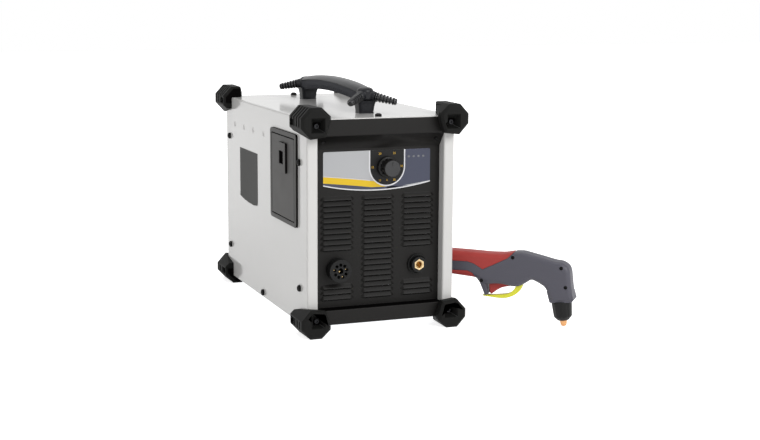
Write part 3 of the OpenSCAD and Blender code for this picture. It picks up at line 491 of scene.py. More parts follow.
def halves_of(whole, tool):
    """What of a shape lies in a tool and what lies outside it; both are freed."""
    halves = [
        solid_op(whole.copy(), tool.copy(), kind) for kind in ("INTERSECT", "DIFFERENCE")
    ]
    whole.free()
    tool.free()
    return halves


def skin_over_shade(node, bevel, skin, margin_y=-1.0, margin_z=-1.0):
    """Parts a copy of the node in a grey outer skin and, under it, a black in painted shade that
    shows on the walls and rims.
    """
    low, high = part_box(node)
    whole = copy_of(node)
    round_edges(whole, bevel)
    width, height = (high.y - low.y) / MM - 2 * margin_y, (high.z - low.z) / MM - 2 * margin_z
    middle = (low + high) / 2
    at = seat((low.x, middle.y, middle.z), Y, Z)
    slab = prism(round_rect(width, height, SKIN_CORNER, 3), -SKIN_REACH, skin, at)
    outer, under = halves_of(whole, slab)
    body = body_of(node)
    piece(node + "_skin", outer, body, "door_plastic", replaces=(node,))
    # Painted shade: the black under the skin stands for the shade on the front-facing walls and in
    # the gaps.
    piece(node + "_shaded_walls", under, body, "door_plastic", material=PAINTED_SHADE_BLACK)


def door():
    """The door's frame, the door and its latch, each on its own body."""
    skin_over_shade("door_frame", bevel=0.5, skin=1.0)
    # The door's skin stops short of its edges, so a rim in painted shade stands for the dark gap
    # round the door.
    skin_over_shade("side_door", bevel=0.25, skin=0.8, margin_y=1.2, margin_z=1.3)
    skin_over_shade("door_latch", bevel=0.4, skin=0.7)


# ---- bumpers and their screws ----

BUMPERS = [
    (f"bumper_{place}_{level}_{side}", across, end, rise)
    for across, side in ((-1, "left"), (1, "right"))
    for end, place in ((-1, "front"), (1, "rear"))
    for rise, level in ((1, "top"), (-1, "bottom"))
]
BUMPER_ROUND = 0.5
# Section of the core, which carries the painted shade of the grooves: the grooves between the ribs
# are cut down to it
CORE_FOOT = [(-20, -9.3), (10.7, -9.3)]
CORE_CROWN = [(10.7, -1.1), (-3, 13.7), (-20, 13.7)]
CORE_REACH = (-10.4, 40)
CROWNS = {1: 2, -1: 0}
LIFTS = {1: -0.5, -1: BOTTOM_Z / MM - 17}


def bumpers():
    """Parts each bumper into its ribbed skin and a core in painted shade, darker than the rubber,
    that shows in the grooves.
    """
    for node, across, end, rise in BUMPERS:
        whole = copy_of(node)
        round_edges(whole, BUMPER_ROUND)
        crown = [(x, v + CROWNS[rise]) for x, v in CORE_CROWN]
        outline = [(x, v + LIFTS[rise]) for x, v in CORE_FOOT + crown]
        at = seat((across * SIDE_X, end * REAR_Y, TOP_Z if rise > 0 else BOTTOM_Z),
                  X * across, Z * rise)
        low, high = sorted(reach * across * end * rise for reach in CORE_REACH)
        inner, ribbed = halves_of(whole, prism(outline, low, high, at))
        # The core's black is painted shade in the grooves; the whole bumper is one rubber part.
        piece(node + "_core", inner, "case", "bumper_rubber", material=PAINTED_SHADE_BLACK)
        piece(node + "_ribs", ribbed, "case", "bumper_rubber", replaces=(node,))


# Each bumper's square funnel, with the screw at its bottom
FUNNEL_X = SIDE_X / MM - 11
FUNNEL_ZS = (TOP_Z / MM - 9.25, BOTTOM_Z / MM + 12.25)
FUNNEL_MOUTH, MOUTH_LEAN = 10.4, 0.5
MOUTH_SHIFTS = (1.7, 1.5)
SCREW_KEY_R, SCREW_KEY = 2.3, (8.2, 14)
BEAD_FOOT, BEAD_TOP = (4.4, -4.4, 8.3), 20.2
BEAD_R, BEAD_TIP = 0.55, 0.4


def bumper_details():
    """A hexagonal socket in each screw, and a pale glossy bead down one corner of each bumper's
    funnel: a painted highlight along that crease.
    """
    sockets, beads = bmesh.new(), bmesh.new()
    low = Vector(BEAD_FOOT)
    for across in (-1, 1):
        for end in (-1, 1):
            face = FRONT_Y if end < 0 else REAR_Y
            for z, shift in zip(FUNNEL_ZS, MOUTH_SHIFTS):
                at = seat((across * FUNNEL_X * MM, face, z * MM), X * -end, Z)
                add_prism(sockets, circle((0, 0), SCREW_KEY_R, 6), *SCREW_KEY, at)
                mouth_x = FUNNEL_MOUTH - across * end * MOUTH_LEAN
                high = Vector((mouth_x, shift - FUNNEL_MOUTH, BEAD_TOP))
                along = high - low
                aside = along.cross((0, 0, 1))
                turned = at.to_3x3()
                run = seat(at @ low, turned @ aside, turned @ along.cross(aside))
                add_lathe(beads, [(0, -BEAD_TIP), (BEAD_R, 0), (BEAD_R, along.length),
                                  (0, along.length + BEAD_TIP)], run, 10)
    screws = solid_op(copy_of("bumper_screws"), sockets, "DIFFERENCE")
    piece("bumper_screws_socketed", screws, "case", "zinc_steel", DARK_STEEL,
          replaces=("bumper_screws",), bevel=0.2)
    piece("bead_highlights", beads, "case", "bumper_rubber", material=BEAD_HIGHLIGHT_GREY)


# ---- moulded front with its louvres ----

FRONT, PANEL = FRONT_Y / MM, PANEL_Y / MM
PANEL_T = 3
PANEL_HALF = POST_IN / MM - 0.2
PANEL_BACK = FRONT + 27
PANEL_ROUND = 1.2
SLOPE_SHIFT = 1.2
CAP_HALF = 1.25
WING_W, WING_OUT = 16, 7
BROW_Z = TOP_Z / MM - 25
SLOPE_Z = BROW_Z - 22.7
BAR_Z = BOTTOM_Z / MM + 24
TRAY_Z = BOTTOM_Z / MM + 1.5
CEILING_Z = TOP_Z / MM - 1.7
LOUVRE_PITCH, LOUVRE_W, LOUVRE_X = 8.4, 53.5, 65
LOUVRE_TOP = TOP_Z / MM - 124.1
LOUVRE_ROWS = 19
LOUVRE_HALF = LOUVRE_W / 2
LOUVRE_SLOT = [(4 - LOUVRE_HALF, -1.7), (LOUVRE_HALF - 4, -1.7),
               (LOUVRE_HALF - 5, 0.9), (5 - LOUVRE_HALF, 0.9)]
SOCKET_X, SOCKET_Z = 65, 96.5
CLEAR_ABOVE, CLEAR_BELOW = 26, 24
knob_low, knob_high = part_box("current_knob")
KNOB_X, KNOB_Z = (knob_low.x + knob_high.x) / 2 / MM, (knob_low.z + knob_high.z) / 2 / MM
PANEL_HOLES = ((-SOCKET_X, SOCKET_Z, 12.7), (SOCKET_X, SOCKET_Z, 9.7), (KNOB_X, KNOB_Z, 4))


def louvres():
    """Places of all louvres: full middle column, none beside the sockets in the outer ones."""
    for column in (-1, 0, 1):
        for row in range(LOUVRE_ROWS):
            z = LOUVRE_TOP - LOUVRE_PITCH * row
            clear = CLEAR_ABOVE if z > SOCKET_Z else CLEAR_BELOW
            if column == 0 or abs(z - SOCKET_Z) > clear:
                yield column * LOUVRE_X, z


def side_seat(x=0):
    """Outlines in (y, z) on a plane across the case, drawn out along +x."""
    return seat((x * MM, 0, 0), Y, Z)


def front_panel():
    """One bent sheet with closed ends and wings behind the posts, cut for what passes it."""
    t = PANEL_T
    section = [
        (PANEL_BACK, CEILING_Z), (FRONT, CEILING_Z), (FRONT, BROW_Z), (PANEL, SLOPE_Z),
        (PANEL, BAR_Z), (FRONT, BAR_Z), (FRONT, TRAY_Z), (PANEL_BACK, TRAY_Z),
        (PANEL_BACK, TRAY_Z + t), (FRONT + t, TRAY_Z + t), (FRONT + t, BAR_Z - t),
        (PANEL + t, BAR_Z - t), (PANEL + t, SLOPE_Z + SLOPE_SHIFT),
        (FRONT + t, BROW_Z + SLOPE_SHIFT), (FRONT + t, CEILING_Z - t), (PANEL_BACK, CEILING_Z - t),
    ]
    bm = prism(section, -PANEL_HALF, PANEL_HALF, side_seat())
    bmesh.ops.recalc_face_normals(bm, faces=bm.faces)
    round_edges(bm, PANEL_ROUND, segments=3)
    brow_end = [(FRONT, CEILING_Z), (FRONT, BROW_Z), (PANEL, SLOPE_Z), (PANEL + 1, SLOPE_Z),
                (PANEL + 1, CEILING_Z)]
    bar_end = [(FRONT, TRAY_Z), (FRONT, BAR_Z), (PANEL + 1, BAR_Z), (PANEL + 1, TRAY_Z)]
    ends = bmesh.new()
    for side in (-1, 1):
        at = side_seat(side * (PANEL_HALF - PANEL_ROUND))
        for outline in (brow_end, bar_end):
            add_prism(ends, outline, -CAP_HALF, CAP_HALF, at)
        wing = front_seat(side * (PANEL_HALF + WING_OUT) * MM, (CEILING_Z + TRAY_Z) / 2 * MM)
        add_prism(ends, round_rect(WING_W, CEILING_Z - TRAY_Z, 1, 2), -t, 0, wing)
    bm = solid_op(bm, ends, "UNION")
    holes = bmesh.new()
    for x, z in louvres():
        add_prism(holes, LOUVRE_SLOT, -2 * t, 2 * t, front_seat(x * MM, z * MM))
    for x, z, radius in PANEL_HOLES:
        add_prism(holes, circle((0, 0), radius), -2 * t, 2 * t, front_seat(x * MM, z * MM))
    bm = solid_op(bm, holes, "DIFFERENCE")
    piece("front_panel_shell", bm, "case", "front_black", replaces=("front_panel",))


LEDGE_HALF = POST_IN / MM - 1.4
LEDGE_SECTION = [
    (FRONT + 1.4, BAR_Z - 0.3), (PANEL - 0.3, BAR_Z - 0.3), (PANEL - 0.3, BAR_Z + 0.9),
    (PANEL - 1.3, BAR_Z + 0.4), (FRONT + 1.6, BAR_Z + 0.3),
]


def ledge_shade_strip():
    """Painted shade and reflection: a dark strip on the ledge behind the bottom bar, where the
    louvred field meets it, for the shade there and the dark panel mirrored in it.
    """
    strip = prism(LEDGE_SECTION, -LEDGE_HALF, LEDGE_HALF, side_seat())
    piece("front_ledge_shade_strip", strip, "case", "front_black", material=PAINTED_SHADE_BLACK)


HOOD_TAPER, HOOD_STEPS = 6.0, 6
HOOD_LEAST, HOOD_END_SHARE = 0.06, 0.25
HOOD_SECTION = [(6.6, -0.4), (6.6, 0), (5.6, 0.5), (2.0, 3.0), (0.8, 3.6), (0.1, 3.5), (0, 3.0),
                (0.9, 2.2), (5.0, -0.4)]


def louvre_hoods():
    """Pressed hoods that rise to a lip along their lower edge and taper to a point at each end."""
    stations = [
        (-LOUVRE_HALF + HOOD_TAPER * k / HOOD_STEPS, math.sin(math.pi / 2 * k / HOOD_STEPS))
        for k in range(HOOD_STEPS + 1)
    ]
    stations += [(-x, rise) for x, rise in reversed(stations)]
    bm = bmesh.new()
    for x, z in louvres():
        rings = []
        for along, rise in stations:
            r = max(rise, HOOD_LEAST)
            height = HOOD_END_SHARE + (1 - HOOD_END_SHARE) * r
            rings.append([(along, v * height, w * r if w > 0 else w) for v, w in HOOD_SECTION])
        add_loft(bm, rings, front_seat(x * MM, z * MM))
    # The hoods' darker black is painted shade; they are pressed from the panel's own sheet.
    piece("louvre_hoods", bm, "case", "front_black", material=LOUVRE_SHADE_BLACK, sharp=40)


# ---- printed film over the controls ----

FILM_LEFT, FILM_RIGHT = overlay_low.x / MM, overlay_high.x / MM
FILM_TOP, FILM_LOW = overlay_high.z / MM, overlay_low.z / MM
FILM_MID = (FILM_LEFT + FILM_RIGHT) / 2
FILM_HALF = (FILM_RIGHT - FILM_LEFT) / 2
FILM_SAG = 9.9
FILM_ARC_R = (FILM_HALF ** 2 + FILM_SAG ** 2) / (2 * FILM_SAG)
FILM_ROUND = 2.5
FILM_T, PRINT_T, PRINT_ROOT = 0.4, 0.03, -0.1
FILM_Y = overlay_low.y
FILM_HOLE_R = 6
WHITE_EDGE = 1.6
DIAL_R, DIAL_RIM = 27.4, 1.9
YELLOW_START, YELLOW_FALL, YELLOW_BEND, YELLOW_W = 237.3, 0.098, 0.00025, 9.6
YELLOW_LEAST_Z = KNOB_Z - DIAL_R - 2.4
YELLOW_END = KNOB_X - 3
YELLOW_LINE = (-0.1, 0.7)
SLATE_TOP_Z = 229


def film_edge(x, raised=0.0):
    """Height of the film's lower edge, a shallow arc, at x."""
    radius = FILM_ARC_R - raised
    return FILM_LOW + FILM_ARC_R - math.sqrt(radius ** 2 - (x - FILM_MID) ** 2)


def white_line(x):
    """Upper side of the white line along the film's lower edge."""
    return film_edge(x, WHITE_EDGE)


def yellow_top(x):
    return YELLOW_START - YELLOW_FALL * (x - FILM_LEFT) - YELLOW_BEND * (x - FILM_LEFT) ** 2


def yellow_low(x):
    """Runs beside the film's edge and turns in under the dial's rim."""
    return max(yellow_top(x) - YELLOW_W, YELLOW_LEAST_Z)


def slate_top(x):
    """Upper side of the slate band under the yellow one."""
    return max(film_edge(x, WHITE_EDGE + 0.1), min(yellow_low(x), SLATE_TOP_Z))


def span(start, end, steps):
    return [start + (end - start) * k / steps for k in range(steps + 1)]


def band_outline(xs, low, high):
    """Outline between two heights given as functions of x."""
    return [(x, low(x)) for x in xs] + [(x, high(x)) for x in reversed(xs)]


def dial_outline(grow):
    """The dark field round the knob: a U that is open to the film's top."""
    radius = DIAL_R + grow
    bowl = arc((KNOB_X, KNOB_Z), radius, 180, 360, 28)
    return [(KNOB_X - radius, FILM_TOP)] + bowl + [(KNOB_X + radius, FILM_TOP)]


def film(name, outline, level, colour):
    """One printed colour, a hair above the one it lies on."""
    layer = prism(outline, PRINT_ROOT, PRINT_T * level, front_seat(0, 0, FILM_Y))
    piece(name, layer, "case", "overlay_film", material=PRINTS[colour])


def control_film():
    """The film itself, with plain colour fields printed on it in layers."""
    corner_z = FILM_TOP - FILM_ROUND
    right_corner = arc((FILM_RIGHT - FILM_ROUND, corner_z), FILM_ROUND, 0, 90, 4)
    left_corner = arc((FILM_LEFT + FILM_ROUND, corner_z), FILM_ROUND, 90, 180, 4)
    whole = span(FILM_LEFT, FILM_RIGHT, 40)
    edge = [(x, film_edge(x)) for x in whole]
    base = prism(edge + right_corner + left_corner, 0, FILM_T, front_seat(0, 0))
    hole = prism(circle((KNOB_X, KNOB_Z), FILM_HOLE_R), -2, 2, front_seat(0, 0))
    base = solid_op(base, hole, "DIFFERENCE")
    piece("film_base", base, "case", "overlay_film", replaces=("control_overlay",))
    slate_low = [(x, white_line(x)) for x in (KNOB_X, FILM_RIGHT)]
    film("film_slate_right", slate_low + right_corner + [(KNOB_X, FILM_TOP)], 1, "slate")
    film("film_slate_low", band_outline(whole, white_line, slate_top), 1, "slate")
    yellow = band_outline(span(FILM_LEFT, YELLOW_END, 24), yellow_low, yellow_top)
    film("film_yellow", yellow, 2, "yellow")
    low, high = YELLOW_LINE
    line = band_outline(span(FILM_LEFT, KNOB_X - DIAL_R, 16), lambda x: yellow_top(x) + low,
                        lambda x: yellow_top(x) + high)
    film("film_yellow_line", line, 2, "white")
    film("film_white_edge", band_outline(whole, film_edge, white_line), 2, "white")
    film("film_dial_rim", dial_outline(DIAL_RIM), 3, "white")
    film("film_dial", dial_outline(0), 4, "black")


LENS_X, LENS_Z = (50, 58, 66, 74), 263
LENS_SIZE, LENS_CORNER = (4.2, 3.2), 1.5
LENS_RINGS = ((0, -2), (0, 0.35), (0.25, 0.6), (0.8, 0.75))


def indicator_lenses():
    """Four small domed windows that stand just proud of the film."""
    bm = bmesh.new()
    for x in LENS_X:
        rings = []
        for pinch, out in LENS_RINGS:
            width, height = (side - 2 * pinch for side in LENS_SIZE)
            outline = round_rect(width, height, LENS_CORNER - pinch, 5)
            rings.append([(u, v, out) for u, v in outline])
        add_loft(bm, rings, front_seat(x * MM, LENS_Z * MM, FILM_Y))
    piece("indicator_lenses", bm, "case", "lens_clear", replaces=("indicator_lights",))


NUMERAL_H, NUMERAL_R, NUMERAL_LIFT = 4.6, 23.5, 0.14
NUMERALS = {"10": 240, "15": 180, "20": 120, "25": 60, "30": 0, "35": -60, "A": -90}
UNIT_R = KNOB_Z - 228.3


def numerals():
    """Plain amperes round the knob, and their unit below it."""
    for digits, turn in NUMERALS.items():
        curve = bpy.data.curves.new("digits", "FONT")
        curve.body = digits
        curve.size = NUMERAL_H * MM
        curve.extrude = PRINT_T * MM
        curve.align_x, curve.align_y = "CENTER", "CENTER"
        curve.resolution_u = 3
        text = placed("digits", curve)
        bpy.context.view_layer.update()
        bm = shape_of(text)
        bpy.data.objects.remove(text)
        bpy.data.curves.remove(curve)
        x, z = polar(NUMERAL_R if digits.isdigit() else UNIT_R, math.radians(turn), 0)[:2]
        at = front_seat((KNOB_X + x) * MM, (KNOB_Z + z) * MM, FILM_Y - NUMERAL_LIFT * MM)
        bm.transform(at @ Matrix.Scale(1 / MM, 4))
        tidy(bm)
        piece("numeral_" + digits, bm, "case", "overlay_film", material=PRINTS["gold"])


# ---- knob ----

KNOB_PROFILE = [(6.5, 1.6), (16.1, 1.6), (16.1, 4.2), (15.5, 5.4), (13.6, 6.2), (13.1, 7),
                (13.0, 21.8), (12.8, 22.8), (12.4, 23.2), (1.0, 23.2)]
KNOB_FLUTES, FLUTE_DEPTH = 12, 1.1
KNOB_FACETS, FACET_RISE = 36, 0.3
FACE_R, FACE_MID_R = 12.1, 3
FACE_BASE, FACE_RIM, FACE_TOP = 22.6, 23.3, 23.6
POINTER = [(-0.5, 3.4), (0.5, 3.4), (0.5, 10.2), (-0.5, 10.2)]
POINTER_DEPTHS = (23.1, 26)


def knob_dent(angle, radius, height):
    """Flutes between the skirt and the rim of the cap."""
    if not 6.5 < height < 22:
        return 0.0
    return FLUTE_DEPTH * max(0.0, math.cos(KNOB_FLUTES * angle)) ** 2


def knob():
    """A fluted cap on a wider skirt, its paler face cut in shallow facets round a sunk pointer."""
    at = front_seat(KNOB_X * MM, KNOB_Z * MM)
    cap = lofted(turned_rings(KNOB_PROFILE, 144, knob_dent), at)
    piece("knob_cap", cap, "knob", "black_plastic", replaces=("current_knob",), sharp=35)
    angles = [2 * math.pi * k / KNOB_FACETS for k in range(KNOB_FACETS)]
    rings = [
        [polar(FACE_R, a, FACE_BASE) for a in angles],
        [polar(FACE_R, a, FACE_RIM + FACET_RISE * (k % 2)) for k, a in enumerate(angles)],
        [polar(FACE_MID_R, a, FACE_TOP) for a in angles],
    ]
    pointer = prism(POINTER, *POINTER_DEPTHS, at)
    face = solid_op(lofted(rings, at), pointer, "DIFFERENCE")
    piece("knob_face", face, "knob", "black_plastic", material=KNOB_FACE, sharp=4)


# ---- sockets ----

RIM_R, RIM_DEPTHS = 8.6, (8, 11.2)
RIM_BORE = [(4.9, 6), (4.9, 10), (5.9, 11.4), (5.9, 14)]
WAY_R, WAY_STEP = 9.4, 40
WELL = [(2.5, -5), (2.5, -0.6), (2.9, 0.4), (2.9, 3)]
PIN_R, PIN_TIP_R, PIN_ROOT = 1.1, 0.7, -9
PINS = ((2, -4.5), (5, -3.2), (7, -5))
KEY_PIN_PLACE = (-1.6, -0.6, 0)
KEY_PIN = [(0, -12), (1.3, -12), (1.3, -3.2), (0.9, -2.4), (0, -2.2)]


def sockets():
    """Bright parts of the two sockets: the earth contact and the torch socket's pins."""
    x, z = SOCKET_X * MM, SOCKET_Z * MM
    piece("earth_contact_body", copy_of("earth_contact"), "case", "brass_plain",
          replaces=("earth_contact",), bevel=0.4)
    at = front_seat(x, z)
    bore = bmesh.new()
    add_lathe(bore, RIM_BORE, at)
    hexagon = prism(circle((0, 0), RIM_R, 6, 30), *RIM_DEPTHS, at)
    rim = solid_op(hexagon, bore, "DIFFERENCE")
    piece("earth_contact_rim", rim, "case", "brass_plain", material=RIM_BRASS, bevel=0.4, sharp=40)
    at = front_seat(-x, z, FRONT_Y)
    ways = [at @ Matrix.Translation(polar(WAY_R, math.radians(90 + WAY_STEP * k), 0))
            for k in range(9)]
    wells, pins = bmesh.new(), bmesh.new()
    for way in ways:
        add_lathe(wells, WELL, way, 24)
    insert = solid_op(copy_of("torch_socket_insert"), wells, "DIFFERENCE")
    piece("torch_socket_insert_face", insert, "case", "black_plastic",
          replaces=("torch_socket_insert",))
    for k, out in PINS:
        add_lathe(pins, [(0, PIN_ROOT), (PIN_R, PIN_ROOT), (PIN_R, out - 0.5), (PIN_TIP_R, out),
                         (0, out + 0.1)], ways[k], 16)
    add_lathe(pins, KEY_PIN, at @ Matrix.Translation(KEY_PIN_PLACE), 16)
    piece("torch_socket_pins", pins, "case", "brass_plain")


# ---- carrying handle ----

GRIP_TOP = TOP_Z / MM + 46.8
GRIP_MID_Y, ARCH_MID_Y = -10.5, -17.5
GRIP_ARCH_R = 1200
FOOT_Y = 136.5
CROWN_REACH, BODY_REACH, NOSE_REACH = FOOT_Y + 6, FOOT_Y + 5, FOOT_Y + 2
NOTCH_PITCH, NOTCH_DEPTH, NOTCH_TOP, NOTCH_REACH = 9.5, 2.2, -15.5, 100
END_PINCH = 0.2
CROWN_HALF = [(0, 0), (5, -0.35), (9, -1.4), (12.2, -3.2), (14.2, -5.3), (15, -6.6), (14.8, -7.4),
              (13, -9), (0, -9)]
BODY_HALF = [(0, -7.8), (14, -7.8), (14.3, -8.6), (14.2, -12), (14, -15), (13.8, -16.5),
             (13.6, -18), (13.2, -20), (12.2, -22), (10, -22.7), (0, -22.8)]
NOSE = [(0, -10), (11.8, -10), (12.8, -8), (13.1, -2), (13.1, 2), (12.5, 4.8), (10.8, 7), (8, 8.5),
        (4, 9.2), (0, 9.4)]
NOSE_DROP = 9.2
HORN_LEN, HORN_DROP, HORN_SPLAY = 51.5, math.radians(11), math.pi / 4
HORN_ROOT_Z = TOP_Z / MM + 28.8
HORN_STEM = [(0, -6), (8.4, -4), (8.4, 6), (7.9, 14), (7.5, 18.5), (5.5, 20), (0, 20)]
HORN_RIBS, RIB_START, RIB_PITCH, RIB_R, RIB_TAPER = 6, 20.5, 5.4, 7.6, 0.36
RIB = [(-2.6, 0), (-0.4, 0.6), (0, 1.4), (-0.4, 2.2), (-2.6, 2.8)]
HORN_TIP = [(3.8, -0.4), (4.9, 0), (5.2, 1.2), (4.4, 2.3), (2.4, 2.9), (0, 3.1)]


def arch_top(y):
    return GRIP_TOP - GRIP_ARCH_R + math.sqrt(GRIP_ARCH_R ** 2 - (y - ARCH_MID_Y) ** 2)


def grip_section(y, half, pinch):
    """Section of the grip under its arch, with slanted finger notches along the lower edges."""
    points = []
    for x, z in half:
        cut = 0.0
        if z < NOTCH_TOP and abs(y - GRIP_MID_Y) < NOTCH_REACH:
            cut = NOTCH_DEPTH * max(0.0, math.sin(2 * math.pi * (y - z) / NOTCH_PITCH)) ** 2
        points.append((max(0, x - cut) * pinch, z))
    return [(x, y, arch_top(y) + z) for x, z in points + [(-x, z) for x, z in points[-2:0:-1]]]


def grip_loft(half, reach, rings):
    places = [2 * k / rings - 1 for k in range(rings + 1)]
    sections = [grip_section(GRIP_MID_Y + reach * t, half, 1 - END_PINCH * t ** 4) for t in places]
    return lofted(sections, seat((0, 0, 0), X, Y))


def horn_seat(end, side):
    """On the axis of a horn: z runs outwards from the end of the grip and a little down."""
    ahead = Vector((side * math.sin(HORN_SPLAY), end * math.cos(HORN_SPLAY), 0))
    out = ahead * math.cos(HORN_DROP) - Z * math.sin(HORN_DROP)
    across = Z.cross(ahead)
    origin = Vector((0, GRIP_MID_Y + end * FOOT_Y, HORN_ROOT_Z)) * MM
    return seat(origin, across, out.cross(across))


def horn_profile():
    """The ribbed end of a horn, its ribs a little smaller towards the tip."""
    profile = [(0, 17), (5, 17)]
    for k in range(HORN_RIBS):
        start, radius = RIB_START + RIB_PITCH * k, RIB_R - RIB_TAPER * k
        profile += [(radius + out, start + on) for out, on in RIB]
    return profile + [(radius, HORN_LEN + on) for radius, on in HORN_TIP]


def remeshed(bm, voxel, rounds):
    """One skin over several overlapping shapes, with the joins between them smoothed."""
    bmesh.ops.recalc_face_normals(bm, faces=bm.faces)
    obj = object_from("soft", bm)
    remesh = obj.modifiers.new("remesh", "REMESH")
    remesh.mode, remesh.voxel_size = "VOXEL", voxel * MM
    smooth = obj.modifiers.new("smooth", "SMOOTH")
    smooth.factor, smooth.iterations = 0.5, rounds
    result = shape_of(obj)
    discard(obj)
    return result


def grip():
    """A glossy crown on a matt body, with a soft nose and two ribbed horns at each end."""
    piece("handle_crown", grip_loft(CROWN_HALF, CROWN_REACH, rings=120), "case",
          "handle_plastic", replaces=("handle_grip",), sharp=25)
    piece("handle_body", grip_loft(BODY_HALF, BODY_REACH, rings=240), "case",
          "handle_plastic", material=GRIP_MATT, sharp=30)
    ends, ribs = bmesh.new(), bmesh.new()
    for end in (-1, 1):
        nose_y = GRIP_MID_Y + end * NOSE_REACH
        nose = seat(Vector((0, nose_y, arch_top(nose_y) - NOSE_DROP)) * MM, X, Y)
        add_lathe(ends, NOSE, nose)
        for side in (-1, 1):
            at = horn_seat(end, side)
            add_lathe(ends, HORN_STEM, at, 32)
            add_lathe(ribs, horn_profile(), at, 40)
    soft = remeshed(ends, voxel=0.8, rounds=3)
    piece("handle_ends", soft, "case", "handle_plastic", sharp=80)
    piece("handle_horn_ribs", ribs, "case", "handle_plastic", material=HORN_GLOSS, sharp=40)


FOOT_MARGIN, FOOT_SPREAD, FOOT_CORNER = 2, 2.6, 4


def handle_foot(node):
    """A block that widens upwards into the grip and is pinched at the cover."""
    low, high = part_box(node)
    height = (high.z - low.z) / MM
    size = ((high.x - low.x) / MM, (high.y - low.y) / MM)
    levels = [(0, 0.2), (0.4, 0), (1.2, 0), (1.8, 0.5), (0.6 * height, 0.2), (0.85 * height, -0.4),
              (height + 2, -1.6)]
    rings = []
    for z, pinch in levels:
        width, depth = (s - FOOT_MARGIN + FOOT_SPREAD * z / height - 2 * pinch for s in size)
        rings.append([(x, y, z) for x, y in round_rect(width, depth, FOOT_CORNER)])
    centre = (low + high) / 2
    foot = lofted(rings, seat((centre.x, centre.y, low.z), X, Y))
    piece(node + "_block", foot, "case", "handle_plastic", replaces=(node,), sharp=40)


def handle():
    grip()
    handle_foot("handle_foot_front")
    handle_foot("handle_foot_rear")


# ---- torch: outlines run from the nozzle along the torch's back, and up ----

TORCH_T = 32
TORCH_FACE = -TORCH_T / 2
TORCH_TURN = math.radians(140)
TORCH_TIP = Vector((276.5, FRONT - 70, 0)) * MM
TORCH_BACK = Vector((math.cos(TORCH_TURN), math.sin(TORCH_TURN), 0))
TORCH_SEAT = seat(TORCH_TIP, TORCH_BACK, Z)
TORCH_FORM = [
    (194, 110), (152, 109.5), (120, 108.5), (96, 109.3), (78.5, 113), (66, 113.7), (32.6, 106.5),
    (15.3, 102.4), (4.4, 102), (-5, 96.6), (-9, 89), (-12, 62.6), (-15.9, 44.8), (-12.1, 40.8),
    (20.8, 38.2), (23.4, 48), (25.8, 55), (29.9, 61.8), (39.5, 67.4), (50.7, 72.1), (64, 62.8),
    (72, 59.2), (80.4, 58.4), (88, 59.6), (97, 61.3), (110, 61), (121, 59), (140, 69),
    (160, 70.5), (194, 73),
]
TORCH_LEG = [(119, 43), (124.8, 42.3), (133.2, 61.5), (140, 70), (134, 76), (121, 74), (122, 57.5)]
TORCH_NECK = [(-16.3, 44.8), (-12.5, 40.3), (21.2, 37.7), (24.1, 48), (26.2, 55.2), (20, 64),
              (-6, 66), (-12.8, 57)]
UPPER_GRIP = [(210, 130), (210, 94), (152, 94.3), (142, 91.8), (127.5, 83.5), (112, 91),
              (88, 103.5), (72, 120)]
LOWER_GRIP = [(210, 60), (210, 79), (152, 80), (143.5, 76.5), (138.5, 68.5), (134, 55)]
GRIP_GAP = 0.25
TORCH_SCREWS = [(80, 105), (4, 93.5), (-3.5, 64), (129.3, 65.5)]
SCREW_RECESS_R, SCREW_RECESS_DEPTH = 3, 6
POCKETS = [[(78, 50), (121, 35), (121, 71), (80, 71)], [(60, 50), (81, 50), (81, 71), (60, 71)]]
POCKET_HALF = 6.6
HALF_FIELD = [(-40, 20), (230, 20), (230, 150), (-40, 150)]
HALF_REACH, SEAM_HALF = 40, 0.12


def torch_body():
    """The whole handle as one soft form, before it is parted into shells and grips."""
    form = pillow(TORCH_FORM, half=TORCH_T / 2, soft=7.5, cut=4.5, at=TORCH_SEAT)
    for outline, half in ((TORCH_LEG, 11), (TORCH_NECK, 14)):
        block = pillow(outline, half, soft=1.6, cut=1.2, at=TORCH_SEAT)
        form = solid_op(form, block, "UNION")
    return form


def cut_by(bm, outlines, low, high, operation="DIFFERENCE"):
    """A shape cut by outlines that are drawn out across the torch."""
    tool = bmesh.new()
    for outline in outlines:
        add_prism(tool, outline, low, high, TORCH_SEAT)
    return solid_op(bm, tool, operation)


def torch_shells():
    """Two grey shells with a seam, screw recesses and pockets, and the red grips set into them."""
    zones = (inset(UPPER_GRIP, -GRIP_GAP), inset(LOWER_GRIP, -GRIP_GAP))
    grey = cut_by(torch_body(), zones, -HALF_REACH, HALF_REACH)
    grey = cut_by(grey, POCKETS, -POCKET_HALF, POCKET_HALF)
    recesses = [circle(p, SCREW_RECESS_R, 24) for p in TORCH_SCREWS]
    for name, low, high in (("torch_shell_left", -HALF_REACH, -SEAM_HALF),
                            ("torch_shell_right", SEAM_HALF, HALF_REACH)):
        half = cut_by(grey.copy(), [HALF_FIELD], low, high, "INTERSECT")
        half = cut_by(half, recesses, TORCH_FACE - 4, TORCH_FACE + SCREW_RECESS_DEPTH)
        piece(name + "_form", half, "torch", "torch_grey", replaces=(name,), sharp=30)
    grey.free()
    for name, zone in (("torch_grip_upper", UPPER_GRIP), ("torch_grip_lower", LOWER_GRIP)):
        red = cut_by(torch_body(), [inset(zone, GRIP_GAP)], -HALF_REACH, HALF_REACH, "INTERSECT")
        piece(name + "_form", red, "torch", "torch_red", replaces=(name,), sharp=30)


